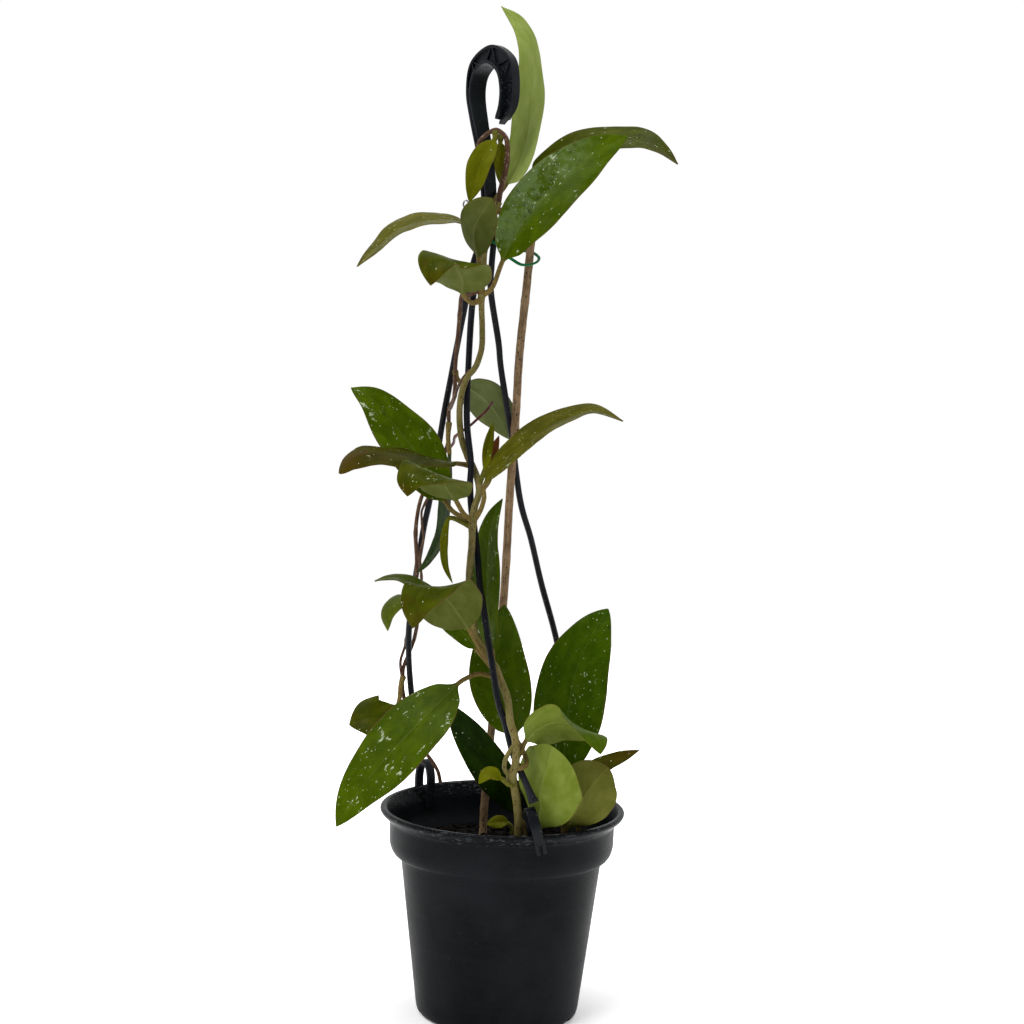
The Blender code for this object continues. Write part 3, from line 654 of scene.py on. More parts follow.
@dataclass(frozen=True)
class PotFinish(Finish):
    """Charcoal pot: faint level flow lines, dusty bloom, and a wet, scuffed stretch of rim whose pale scuffs
    are also painted glints.
    """

    name: str = "charcoal pot"
    base: Triple = (0.0038, 0.0045, 0.0052)
    bloom: Triple = (0.0088, 0.0100, 0.0118)
    # pale tone of the rim scuffs: real wear, made light enough to serve as painted glints
    scuff_and_glint: Triple = (0.08, 0.085, 0.09)
    speck: Triple = (0.20, 0.19, 0.17)
    rim_height: float = 0.1125

    def shader(self, graph: Graph) -> Feeds:
        """Bands in height, clouds, dust and rim scuffs, the scuffs also painted glints, on object
        coordinates.

        Args:
            graph: Where the nodes go.

        Returns:
            What goes into the shader's inputs.
        """
        place = graph.place()
        bands = graph.noise(graph.scaled(place, (0.25, 0.25, 6)), 60, 3, 0.5)
        clouds = graph.noise(place, 22, 5, 0.62)
        scuffs = graph.noise(graph.scaled(place, (1, 1, 2.5)), 260, 4, 0.75, 0.8)
        rim = graph.parts(place)[2].ramp(self.rim_height - 0.001, self.rim_height + 0.0015)
        # Rim scuffs: partly real wear, partly painted glints of the wet lip.
        wear_and_glint = rim * scuffs.ramp(0.55, 0.64)
        colour = graph.mix(clouds.ramp(0.35, 0.7), self.base, self.bloom)
        colour = graph.tint(colour, bands.ramp(0.5, 0.7), 0.3, self.bloom)
        colour = graph.tint(colour, wear_and_glint, 0.6, self.scuff_and_glint)
        return {"Base Color": graph.tint(colour, graph.specks(place, 330, 0.16, 0.2), 0.04, self.speck),
                "Roughness": clouds.ramp(0.3, 0.75, 0.34, 0.5) - rim * 0.12 + wear_and_glint * 0.2,
                "Normal": graph.relief((graph.noise(place, 700, 3, 0.6), 0.00004), (bands, 0.00012),
                                       (scuffs, 0.00012)),
                "Specular IOR Level": 0.04}


@dataclass(frozen=True)
class SoilFinish(Finish):
    """Damp black mix of peat and bark."""

    name: str
    dark: Triple
    light: Triple

    def shader(self, graph: Graph) -> Feeds:
        """Crumbs of two sizes in colour and height.

        Args:
            graph: Where the nodes go.

        Returns:
            What goes into the shader's inputs.
        """
        place = graph.place()
        crumbs = graph.noise(place, 260, 6, 0.7)
        return {"Base Color": graph.mix(crumbs.ramp(0.45, 0.75), self.dark, self.light),
                "Roughness": crumbs.ramp(0.3, 0.7, 0.95, 0.6),
                "Normal": graph.relief((crumbs, 0.0012), (graph.noise(place, 70, 3), 0.002)),
                "Specular IOR Level": 0.05}


@dataclass(frozen=True)
class MetalFinish(Finish):
    """Thin bright wire."""

    name: str = "tie wire metal"
    dark: Triple = (0.30, 0.31, 0.33)
    light: Triple = (0.55, 0.56, 0.58)

    def shader(self, graph: Graph) -> Feeds:
        """Grey metal with drawn streaks.

        Args:
            graph: Where the nodes go.

        Returns:
            What goes into the shader's inputs.
        """
        streaks = graph.noise(graph.scaled(graph.place("flow"), (1, 1, 0.1)), 30, 2)
        return {"Base Color": graph.mix(streaks, self.dark, self.light),
                "Roughness": streaks.ramp(0.3, 0.7, 0.22, 0.4), "Metallic": 1.0}


@dataclass(frozen=True)
class DewFinish(Finish):
    """Clear water."""

    name: str = "dew"
    dark: Triple = (0.93, 0.96, 0.95)
    light: Triple = (1.0, 1.0, 1.0)

    def shader(self, graph: Graph) -> Feeds:
        """Nearly smooth clear shader with a faint change of roughness.

        Args:
            graph: Where the nodes go.

        Returns:
            What goes into the shader's inputs.
        """
        film_sheen = graph.noise(graph.place(), 300, 1)
        return {"Base Color": graph.mix(film_sheen, self.dark, self.light),
                "Roughness": film_sheen.ramp(0.3, 0.7, 0.01, 0.05), "Transmission Weight": 1.0, "IOR": 1.33}


@dataclass(frozen=True)
class PaperFinish(Finish):
    """Plain pale sheet for the floor."""

    name: str = "pale floor"
    dark: Triple = (0.90, 0.90, 0.90)
    light: Triple = (0.93, 0.93, 0.93)

    def shader(self, graph: Graph) -> Feeds:
        """Nearly white with the faintest mottling, glowing like a light table away from the pot.

        Args:
            graph: Where the nodes go.

        Returns:
            What goes into the shader's inputs.
        """
        place = graph.place()
        x, y, _ = graph.parts(place)
        away = (x * x + y * y).calc("SQRT")
        return {"Base Color": graph.mix(graph.noise(place, 3, 2), self.dark, self.light),
                "Roughness": 0.9, "Emission Color": (1, 1, 1, 1),
                "Emission Strength": away.ramp(0.07, 0.5, 0.25, 1.0), "Specular IOR Level": 0.0}


class Look(Enum):
    """Kinds of leaf, by age and by how they catch the light."""

    DEEP = LeafFinish("deep leaf", (0.030, 0.058, 0.0004), (0.050, 0.086, 0.001), (0.075, 0.105, 0.016),
                      (0.115, 0.15, 0.028), flecks=0.45, specks=0.4)
    DARK = LeafFinish("leaf in shade", (0.005, 0.015, 0.0003), (0.014, 0.034, 0.0008), (0.05, 0.08, 0.018),
                      (0.075, 0.105, 0.028), rib=(0.03, 0.06, 0.004), flecks=0.0, specks=0.15)
    FLECKED = LeafFinish("flecked leaf", (0.034, 0.060, 0.0005), (0.056, 0.092, 0.001), (0.10, 0.13, 0.02),
                         (0.15, 0.19, 0.04), flecks=0.8, specks=0.6, gloss=0.27)
    # Wet leaf: lower roughness, plus a painted sheen over one half of the upper side.
    WET = LeafFinish("wet leaf with painted sheen", (0.034, 0.060, 0.0005), (0.056, 0.092, 0.001), (0.10, 0.13, 0.02),
                     (0.15, 0.19, 0.04), flecks=0.6, specks=0.5, painted_sheen=0.5, gloss=0.25)
    SPECKLED = LeafFinish("speckled leaf", (0.026, 0.058, 0.0004), (0.044, 0.082, 0.001), (0.09, 0.12, 0.02),
                          (0.14, 0.17, 0.04), flecks=0.35, specks=0.9)
    OLIVE = LeafFinish("olive leaf", (0.028, 0.037, 0.0006), (0.054, 0.064, 0.002), (0.052, 0.062, 0.008),
                       (0.080, 0.094, 0.020), rib=(0.12, 0.13, 0.035), flecks=0.25, specks=0.5, blush=0.1,
                       slot="leaf_olive")
    YELLOW = LeafFinish("yellowing leaf", (0.052, 0.053, 0.001), (0.092, 0.088, 0.005), (0.080, 0.085, 0.012),
                        (0.115, 0.120, 0.026), rib=(0.16, 0.16, 0.05), flecks=0.1, specks=0.5, blush=0.1,
                        slot="leaf_olive")
    BRONZE = LeafFinish("bronze leaf", (0.024, 0.027, 0.0006), (0.044, 0.045, 0.002), (0.050, 0.052, 0.008),
                        (0.078, 0.076, 0.016), rib=(0.10, 0.09, 0.02), flecks=0.1, specks=0.5, blush=0.36,
                        slot="leaf_olive")
    GREY = LeafFinish("shaded leaf", (0.045, 0.062, 0.003), (0.065, 0.088, 0.006), (0.098, 0.120, 0.040),
                      (0.132, 0.160, 0.056), rib=(0.19, 0.23, 0.09), flecks=0.1, specks=0.1,
                      slot="leaf_olive")
    PALE = LeafFinish("pale leaf", (0.045, 0.075, 0.003), (0.070, 0.105, 0.005), (0.185, 0.240, 0.040),
                      (0.245, 0.305, 0.078), rib=(0.25, 0.31, 0.08), margin=(0.14, 0.13, 0.03), flecks=0.0,
                      slot="leaf_pale")
    WARM = LeafFinish("warm pale leaf", (0.038, 0.068, 0.001), (0.060, 0.096, 0.003), (0.105, 0.142, 0.013),
                      (0.168, 0.212, 0.038), rib=(0.21, 0.26, 0.07), margin=(0.12, 0.11, 0.02), flecks=0.2,
                      slot="leaf_pale")
    DULL = LeafFinish("dull pale leaf", (0.040, 0.055, 0.001), (0.060, 0.072, 0.003), (0.078, 0.085, 0.010),
                      (0.118, 0.125, 0.024), rib=(0.15, 0.15, 0.04), margin=(0.10, 0.08, 0.02), flecks=0.1,
                      blush=0.1, slot="leaf_pale")
    YOUNG = LeafFinish("young leaf", (0.070, 0.078, 0.001), (0.110, 0.116, 0.003), (0.090, 0.102, 0.003),
                       (0.130, 0.142, 0.008), rib=(0.15, 0.15, 0.02), stalk=(0.11, 0.11, 0.018), flecks=0.0,
                       specks=0.05, gloss=0.38, slot="leaf_young")
    RED = LeafFinish("red shoot leaf", (0.070, 0.020, 0.006), (0.10, 0.035, 0.010), (0.075, 0.028, 0.010),
                     (0.11, 0.045, 0.014), rib=(0.12, 0.06, 0.02), flecks=0.0, specks=0.0, gloss=0.4,
                     slot="tendril")


# -- tables of the plant ------------------------------------------------------------------------------

# Lines along one half of a blade, as shares of its half width.
V_HALF = (0.03, 0.06, 0.1, 0.16, 0.25, 0.36, 0.48, 0.6, 0.72, 0.83, 0.91, 0.965, 0.99)
ROUTE_STEPS = 24
BLADE_BASE = 0.65  # how fast a blade widens from its stalk
BLADE_OPENS = 0.08  # share of the blade over which the round stalk flattens out
BLADE_ROWS = 74
BLADE_THICKNESS = 0.9
RIB_HEIGHT = 0.75  # on the underside
GROOVE_DEPTH = 0.22  # on the upper side
LOBES = 0.028  # unevenness of the margin, as a share of the half width
WAVES = 0.05  # rise and fall of the margin, as a share of the width
RIPPLES = 0.16  # smaller bumps all over
STALK_STEP = 1.6
PETIOLE_RADIUS = 1.25


@dataclass(frozen=True)
class Leaf:
    """One leaf with its stalk, as a thin folded lens carried along a route.

    Attributes:
        name: The node that it stands for.
        look: Its finish.
        stalk: How many points of the route come before the blade.
        width: Width of the blade.
        fold: Degrees that each half is raised from flat.
        face: Where the upper side looks at the blade's base.
        route: Points from the leaf's root to its tip.
        tip_face: Where the upper side looks at the tip, if not the same way.
        point: How fast the blade narrows to its tip: under 0.7 is blunt, over 1 is drawn out.
        turn: How late the upper side turns from one look to the other, as a power of the blade's share.
    """

    name: str
    look: Look
    stalk: int
    width: float
    fold: float
    face: Triple
    route: Route
    tip_face: Triple | None = None
    point: float = 0.85
    turn: float = 1.0

    def half_width(self, share: Array) -> Array:
        """Half width: share to the power 0.65 times (1 - share) to the power of point, scaled to its peak.

        Args:
            share: Shares of the blade's length, counted from its base.

        Returns:
            Half width at each.
        """
        widest = BLADE_BASE / (BLADE_BASE + self.point)
        peak = widest ** BLADE_BASE * (1 - widest) ** self.point
        share = np.clip(share, 0, 0.998)
        return np.maximum(self.width / 2 * share ** BLADE_BASE * (1 - share) ** self.point / peak, 0.12)

    def stations(self) -> tuple[Array, Array, Array]:
        """Points along stalk and blade, each one's share of the blade, and its distance from the root.

        Returns:
            The points, the shares and the distances.
        """
        curve = smooth(self.route, ROUTE_STEPS)
        runs = run_lengths(curve)
        base, end = runs[(self.stalk - 1) * ROUTE_STEPS], runs[-1]
        stalk = np.linspace(0, base, max(5, int(base / STALK_STEP)), endpoint=False)
        even = np.linspace(0, 1, BLADE_ROWS)
        blade = base + (end - base) * (0.55 * even + 0.45 * (0.5 - 0.5 * np.cos(pi * even)))
        distance = np.concatenate([stalk, blade])
        return at_distance(curve, distance), (distance - base) / (end - base), distance

    def shell(self, seed: int) -> Shell:
        """The leaf's surface.

        Each ring is a circle on the stalk and opens over the first 8% of the blade into two sheets that meet
        at the margins. The sheets lie a thickness apart times the square root of 1 - v^4, where v runs from
        -1 to 1 across. The underside swells along its middle as exp(-(x / w)^2), and the upper side sinks.

        Args:
            seed: Chooses the unevenness.

        Returns:
            The closed surface.
        """
        centre, share, distance = self.stations()
        along = tangents(centre)
        turn = np.clip(share, 0, 1)[:, None] ** self.turn
        look = (1 - turn) * np.array(self.face, float) + turn * np.array(self.tip_face or self.face, float)
        normal = unit(look - along * np.sum(look * along, axis=1)[:, None])
        across = np.cross(along, normal)

        inner = np.array((0,) + V_HALF)
        sheet = np.concatenate([-inner[:0:-1], inner])
        v = np.concatenate([[1.0], sheet[::-1], [-1.0], sheet])
        upper = np.concatenate([[0.5], np.ones(len(sheet)), [0.5], np.zeros(len(sheet))])
        sign = 2 * upper - 1
        share, distance = share[:, None], distance[:, None]
        inside = np.clip(share, 0, 1)

        half = self.half_width(share)
        stalk_radius = PETIOLE_RADIUS * (1.06 + 0.4 * np.exp(-(distance / 5) ** 2))
        lobes = 1 + LOBES * ripple(inside * 3, np.sign(v) * 2.0, seed + 3)
        x = v * half * np.where(np.abs(v) > 0.3, lobes, 1)
        wide = half / (0.5 * self.width)
        lift = np.abs(x) * np.tan(radians(self.fold))
        lift = lift + WAVES * self.width * wide * v ** 2 * ripple(inside * 2.2, v * 0.4, seed)
        lift = lift + RIPPLES * wide * ripple(x / 7, distance / 9, seed + 1, 7)
        thick = 0.5 * BLADE_THICKNESS * np.sqrt(np.clip(1 - v ** 4, 0, 1)) * (0.75 + 0.25 * wide)
        rib = np.where(sign < 0, RIB_HEIGHT * (1 - 0.8 * inside) * np.exp(-(x / (0.9 - 0.45 * inside)) ** 2),
                       GROOVE_DEPTH * (1 - inside) * np.exp(-(x / 0.9) ** 2))
        z = lift + sign * thick - rib * (inside < 1)
        opened = step_between(share, -0.015, BLADE_OPENS)
        angle = 0.5 * pi * (1 - v) * np.where(sign < 0, -1, 1)
        x = opened * x + (1 - opened) * stalk_radius * np.cos(angle)
        z = opened * z + (1 - opened) * stalk_radius * np.sin(angle)
        grid = centre[:, None] + across[:, None] * x[..., None] + normal[:, None] * z[..., None]
        flow = np.stack([x, distance + 0 * x + 37.0 * seed, (1 - opened) * z + 3.0 * seed + 0 * x], axis=-1)
        blade = np.stack(np.broadcast_arrays(v, share, upper), axis=-1)
        return Shell.from_grid(grid, flow, blade, flip=True)


LEAVES = (
    Leaf("leaf_top_upright", Look.PALE, 3, 34, 4, (-0.85, 0.5, 0), (
        (-12.5, -10, 460), (-13.5, -4, 465), (-8.5, 6, 473), (-1.5, 11, 487), (3, 15, 507), (4.5, 18, 530),
        (3.5, 20, 549), (-3, 21, 563), (-14, 21, 573)), tip_face=(-0.8, 0.5, 0.3), point=1.0),
    Leaf("leaf_top_right", Look.WET, 3, 34, 4, (-0.3, -0.9, 0.3), (
        (-20, -12, 411), (-14, -14, 416), (-9, -15, 430), (-1, -17, 448), (11, -19, 464), (24, -19, 478),
        (40, -17, 491), (58, -12, 501))),
    Leaf("leaf_top_arching", Look.OLIVE, 4, 33, 6, (-0.2, -0.45, 0.9), (
        (-13, -10, 457.5), (-7.5, -7, 460), (-4, 2, 469), (5, 8, 479), (21, 10, 490), (42, 9, 498),
        (64, 5, 500), (77, 2, 495), (87, 0, 487)), tip_face=(0.4, -0.5, 0.8)),
    Leaf("leaf_tip_hanging", Look.YOUNG, 2, 14, 12, (-0.3, -0.9, 0.1), (
        (-15, -12, 501), (-15, -14, 497), (-19, -17, 490), (-23, -18, 482), (-25, -18, 473),
        (-28, -18, 462))),
    Leaf("leaf_tip_small", Look.YOUNG, 2, 10, 12, (0.6, -0.7, 0), (
        (-11, -12, 500), (-12, -9, 496), (-12, -8, 483), (-11, -8, 472))),
    Leaf("leaf_top_front", Look.OLIVE, 3, 22, 14, (0.5, 0.6, 0.7), (
        (-20, -12, 412), (-21, -17, 421), (-22, -21, 432), (-24, -27, 440), (-24, -34, 448), (-20, -46, 456),
        (-15, -58, 463))),
    Leaf("leaf_top_left", Look.YELLOW, 3, 28, 6, (0, -0.25, 1), (
        (-17, -10, 445), (-22, -13, 448), (-28, -15, 450), (-38, -18, 452), (-51, -22, 451),
        (-65, -26, 446.5), (-75, -28, 438), (-88, -30, 425)), tip_face=(-0.6, -0.4, 0.7)),
    Leaf("leaf_upper_drooping", Look.OLIVE, 3, 36, -4, (0.1, 0.4, 0.9), (
        (-20, -12, 409), (-25, -18, 407), (-30, -25, 412), (-30, -36, 419), (-32, -48, 425), (-36, -58, 430),
        (-42, -66, 431), (-45, -70, 425), (-46, -71, 416)), tip_face=(-0.4, -1, 0.4)),
    Leaf("leaf_middle_flecked", Look.FLECKED, 3, 32, 4, (0.3, -0.85, 0.4), (
        (-21, -40, 288), (-31, -34, 292), (-36, -29, 297), (-44, -27, 309), (-53, -24, 323), (-65, -20, 337),
        (-78, -17, 351), (-91, -14, 358))),
    Leaf("leaf_middle_left", Look.BRONZE, 3, 26, -6, (0, -0.25, 1), (
        (-22, -21, 317), (-27, -24, 318), (-31, -31, 319), (-36, -36, 320), (-46, -42, 322),
        (-61, -48.5, 324.5), (-77, -56, 325), (-87, -58, 321), (-93, -59, 314)), tip_face=(-0.5, -0.6, 0.7),
        point=0.6),
    Leaf("leaf_middle_drooping", Look.OLIVE, 3, 34, -4, (0.1, 0.5, 0.85), (
        (-21, -40, 288), (-26, -45, 293), (-30, -48, 300), (-34, -56, 307), (-38, -65, 314), (-44, -73, 318),
        (-50, -79, 318), (-54, -81, 313), (-55, -82, 305)), tip_face=(-0.3, -1, 0.4)),
    Leaf("leaf_middle_back", Look.GREY, 3, 25, 3, (0.2, 0.95, 0.3), (
        (-34, 8, 368), (-33, 12, 364), (-30, 16, 361), (-24, 21, 357), (-16, 26, 351), (-8, 28, 341),
        (-2, 28, 329))),
    Leaf("leaf_middle_right", Look.YELLOW, 4, 28, 10, (-0.35, -0.25, 0.9), (
        (-21, -40, 288), (-17, -41, 294), (-15, -39, 301), (-15, -37, 308), (-7, -34, 318), (4, -31, 329),
        (17, -29, 339), (31, -29, 346), (44, -30, 350), (60, -32, 345)), tip_face=(0.2, -0.25, 0.9)),
    Leaf("leaf_middle_hanging", Look.DARK, 3, 22, 4, (-0.9, -0.3, 0), (
        (-37, 16, 338), (-37, 9, 330), (-36, 6, 322), (-36, 5, 312), (-37, 4, 295), (-39, 4, 275),
        (-45, 5, 262), (-52, 6, 253))),
    Leaf("leaf_shoot_green", Look.YOUNG, 2, 6, 12, (0.3, -0.9, 0), (
        (-18.5, -29.5, 307), (-15.5, -25, 315), (-14, -23, 328), (-11.5, -23, 342))),
    Leaf("leaf_shoot_red", Look.RED, 2, 7, 12, (-0.3, -0.9, 0.2), (
        (-18, -32.5, 303.5), (-12.5, -25, 310), (-11, -18, 323), (-8, -16, 334))),
    Leaf("leaf_middle_tall", Look.DEEP, 2, 26, 6, (-0.8, -0.6, 0.1), (
        (-8, -45, 209), (-8, -38, 216), (-11, -36, 233), (-12, -32, 254), (-12, -29, 274), (-10, -28, 288),
        (-5, -28, 300))),
    Leaf("leaf_middle_narrow", Look.YOUNG, 3, 5, 10, (-0.4, -0.9, 0), (
        (-21, -40, 285), (-27, -42, 288), (-33, -42, 290), (-35, -42, 286), (-36, -43, 275), (-35, -43, 264),
        (-31, -42, 254))),
    Leaf("leaf_lower_thin", Look.GREY, 3, 16, 6, (0, -0.15, 1), (
        (-18.5, -39.5, 230), (-24, -30, 238), (-35, -25, 242), (-44, -23, 246), (-51, -22, 249.5),
        (-60, -21, 252.5), (-67, -21, 253), (-75, -21, 251)), tip_face=(-0.3, -0.2, 1)),
    Leaf("leaf_lower_drooping", Look.OLIVE, 4, 36, -5, (-0.27, 0.7, 0.64), (
        (-9, -44, 211), (-14, -46, 218), (-18, -51, 225), (-21, -56, 231), (-27, -64, 241), (-33, -73, 250),
        (-39, -82, 257), (-45, -88, 256), (-49, -90, 248), (-50, -90, 236)), tip_face=(-0.3, -0.9, 0.4)),
    Leaf("leaf_lower_under", Look.DEEP, 3, 14, 4, (0, -0.65, 0.75), (
        (-8, -45, 209), (-12.5, -42, 213), (-17, -42, 218), (-24, -42, 226), (-33, -40, 232.5),
        (-46, -37, 237.5))),
    Leaf("leaf_lower_curled", Look.GREY, 3, 18, -6, (0, 0.2, 1), (
        (-20, -39, 236), (-28, -44, 240), (-38, -48, 243), (-49, -51, 245), (-57, -54, 247), (-63, -56, 243),
        (-66, -57, 237), (-65, -57, 229)), tip_face=(-0.7, -0.7, 0.2)),
    Leaf("leaf_lower_flecked", Look.FLECKED, 5, 37, 4, (-0.35, -0.8, 0.45), (
        (-3, -48.5, 203), (-9, -46, 204), (-15, -47, 205), (-20, -51, 204), (-26, -56, 201), (-33, -60, 194),
        (-46, -66, 181), (-64, -71, 161), (-79, -75, 142), (-89, -78, 125)), tip_face=(-0.35, -0.8, 0.35)),
    Leaf("leaf_lower_small", Look.OLIVE, 3, 27, 4, (0, -0.85, 0.5), (
        (-61, 46, 185), (-62, 40, 181), (-63, 32.5, 171), (-70, 30, 164), (-81, 29, 163), (-91, 29, 159))),
    Leaf("leaf_foot_broad", Look.DEEP, 5, 34, 6, (0.1, -0.9, 0.3), (
        (6, -69, 158), (11.3, -67, 158.5), (12.3, -61.5, 161), (9.5, -54.5, 166), (6, -48.5, 171),
        (2, -41, 180), (-3, -32, 196), (-5, -27, 214), (-2, -28, 241))),
    Leaf("leaf_foot_right", Look.SPECKLED, 4, 41, 4, (-0.1, -0.95, 0.25), (
        (36, 26, 82), (36, 26, 98), (36, 21, 116), (36, 14, 136), (35, 10, 149), (35.5, 6, 168), (39, 3, 196),
        (47.5, 4, 219), (57, 8, 235)), tip_face=(-0.1, -0.9, 0.4), point=0.75),
    Leaf("leaf_foot_pale_top", Look.WARM, 3, 36, -5, (-0.1, 0.8, 0.6), (
        (6.5, -69.3, 163), (9.5, -65, 167), (11.5, -61, 171), (18, -58, 178), (27, -58, 182), (35, -61, 182),
        (42, -66, 180), (48, -70, 178), (51, -73, 174), (52, -74, 168)), tip_face=(0.5, -0.8, 0.6), turn=2.6),
    Leaf("leaf_foot_pale_front", Look.WARM, 4, 44, 18, (0.65, 0.75, 0.2), (
        (22, -42, 82), (22, -43, 97), (22, -46, 110), (21, -50, 120), (21, -54, 131), (21, -60, 145),
        (24, -67.5, 159), (26, -72, 171)), point=0.65),
    Leaf("leaf_foot_pale_right", Look.DULL, 4, 36, 6, (0, 0.95, 0.1), (
        (33, -36, 82), (33, -37, 97), (34, -40, 110), (36, -43, 119), (40, -47, 129), (45, -51, 140),
        (51, -54, 150), (57, -55, 157)), point=0.6),
    Leaf("leaf_foot_brown", Look.BRONZE, 4, 13, 6, (0, -0.6, 0.8), (
        (44, -22, 82), (44, -22, 97), (43, -25, 118), (43, -29, 134), (48, -31, 147), (57, -32, 153.5),
        (66, -34, 158), (75, -37, 163))),
    Leaf("leaf_foot_long", Look.DARK, 4, 24, 4, (-0.5, -0.8, 0.4), (
        (14, 10, 82), (14, 10, 98), (13.5, 8, 106), (9, 6, 114), (-0.5, 4, 131), (-12, 4, 148), (-23, 4, 164),
        (-34, 4, 179))),
    Leaf("leaf_knot_curled", Look.YOUNG, 3, 8, 8, (0, -0.7, 0.7), (
        (5.5, -64, 148), (3, -69, 149), (-1, -73, 153), (-5, -76, 156), (-9, -78, 156), (-13, -79, 151)),
        tip_face=(-0.4, -0.8, 0.3)),
    Leaf("leaf_soil_young", Look.YOUNG, 4, 9, 8, (0, -0.7, 0.7), (
        (6, 29, 82), (6, 29, 91), (6, 29, 99.5), (3.5, 29, 103), (-2, 29, 103.5), (-9, 29, 102))),
)

MAIN_STEM = (
    (9, -50, 82), (9, -50, 98), (9, -54, 125), (6.5, -61, 144), (4.5, -66.5, 152), (6.5, -69.5, 161),
    (6, -68, 173), (3, -64, 182), (1, -54, 193), (-3, -49, 202), (-7, -45, 209), (-12, -42, 217),
    (-18, -40, 227), (-21, -38, 244), (-22, -38, 258), (-21, -41, 275), (-21, -41, 288), (-20, -38, 296),
    (-18, -33, 303), (-19, -27, 310), (-22, -22, 317), (-25, -21, 322), (-28.8, -22.5, 333),
    (-30.1, -23.5, 346), (-29.3, -23, 357), (-26.5, -22, 366), (-22, -22, 372), (-19, -18, 382),
    (-19, -15, 393), (-20, -12, 411), (-19, -10, 424), (-19, -10, 434), (-17, -10, 445), (-14, -10, 456),
    (-12, -10, 463)
)
KNUCKLE_HEIGHTS = (152, 208, 288, 411, 463)
KNOT_LOOP = ((5, -68.5, 170), (1.5, -69.5, 164), (0.5, -69.5, 158), (3.5, -67.5, 152.5))
TIP_SHOOT = (
    (-12, -10, 463), (-11, -11, 470), (-9, -12, 478), (-8, -12, 486), (-8, -12, 493), (-9, -12, 498),
    (-12, -12, 501), (-15, -12, 502), (-19, -12, 500), (-23, -12, 496), (-25, -12, 490)
)
VINE = (
    (-37, 39, 124), (-39, 40, 131), (-44, 42, 138), (-50, 46, 144), (-54, 46, 153), (-58, 45, 165),
    (-61, 46, 178), (-61, 46, 190), (-58, 48, 199), (-55, 47, 208), (-53, 41, 222), (-54, 34, 240),
    (-54, 31, 249), (-54, 30, 258), (-55, 30, 273), (-54, 29, 285), (-52, 31, 294), (-48, 32, 303),
    (-42, 28, 314), (-38, 24, 324), (-37, 19, 333), (-37, 14, 346), (-34, 10, 354), (-34, 8, 369),
    (-33, 4, 386), (-32, 0, 401), (-31, -6, 411), (-27, -11, 411), (-23, -13.5, 413), (-20, -12, 413)
)
SECOND_SHOOT = (
    (-61.5, 46.5, 185), (-62.5, 45, 190.5), (-62.5, 45, 196), (-60.5, 46.5, 203), (-59, 47, 211.5),
    (-56, 47, 220.5), (-53, 43.5, 229.5), (-51, 37, 238.5), (-51, 31, 247), (-51.5, 27, 254), (-52, 26, 260),
    (-51, 26, 266), (-50, 25.5, 271), (-51, 25, 276.5), (-51.5, 25, 281.5), (-51.5, 25.5, 286.5),
    (-49, 24, 292.5), (-46.5, 21.5, 299), (-45, 19.5, 305.5)
)
TENDRIL = (
    (-38, 25, 322), (-36, 20, 324), (-34, 14, 327), (-33, 6, 331), (-29, -5, 335), (-24, -10, 339),
    (-19, -14, 344), (-15, -16, 348), (-12, -18, 353)
)
SIDE_VINE = ((-25, -22, 370), (-29, -21, 365), (-32, -14, 359), (-34, -5, 352), (-36, 6, 347), (-37, 13, 346))
CANE = (
    (7, 12, 446), (5, 14, 417), (2, 16, 377), (1, 18, 341), (-1, 19, 299), (-3, 20, 234), (-10, 21, 126),
    (-11, 21, 98), (-12, 21, 80)
)
STRANDS = {
    "strand_left": (
        (-21, 1.5, 445.5), (-21.5, 1.5, 441), (-25.5, 3, 428), (-29, 8, 408), (-38.5, 16, 352),
        (-41.5, 20, 333), (-47, 27, 294), (-51, 32, 272), (-57, 40, 227), (-58, 43, 204), (-56, 48, 176),
        (-50.5, 51.5, 138)),
    "strand_front": (
        (-18, -4, 445.5), (-18.5, -4, 441), (-22, -5, 428), (-25, -8, 406), (-26, -16, 374), (-26, -22, 343),
        (-23, -28, 320), (-23, -31, 308), (-22, -33, 295), (-20, -34, 284), (-18, -36, 270), (-16, -41, 253),
        (-13, -46, 238), (-9, -51, 217), (-4, -57, 192), (0, -59, 181), (5, -62, 164), (12, -66, 150),
        (17, -68, 139)),
    "strand_right": (
        (-14, 1.5, 445.5), (-14.2, 1.5, 441), (-15, 3, 428), (-15, 6, 413), (-10, 12, 385), (-8, 16, 369),
        (-1, 23, 331), (5, 28, 294), (12, 32, 271), (19, 38, 244), (28, 42, 214), (36, 46, 180),
        (45, 50, 138)),
}
CLIPS = {"clip_left": (134.4, 0), "clip_front": (-74, 14), "clip_right": (48, 0)}  # angle round the rim, lean
# Before a clip is turned round the pot: its strap over the rim, a prong beside its slot, where it leans.
CLIP_STRAP = (
    (61.2, 0, 108), (61.2, 0, 118), (61.4, 0, 126), (63.0, 0, 132), (66.4, 0, 135), (69.8, 0, 132),
    (71.5, 0, 126), (71.6, 0, 118), (71.6, 0, 115.8)
)
CLIP_PRONG = ((71.6, 0, 117.5), (71.6, 0, 114), (71.6, 0, 110))
CLIP_PIVOT = (66, 0, 120)
TIE = (
    (-17.3, 3.5, 440), (-17.6, 0, 441), (-14.3, -1.6, 441), (-11, 0.5, 438), (-10.5, 5, 436), (-4, 8, 432),
    (2, 7.5, 429), (9, 8, 430), (11.5, 12, 433), (8, 16.5, 436), (3, 16, 437)
)
WIRE = (
    (-19, -4.4, 457), (-22.5, -6, 457.5), (-27, -7, 460), (-30, -7, 463.5), (-31.5, -7, 461),
    (-29.5, -7, 457.5), (-26.5, -7.5, 456)
)

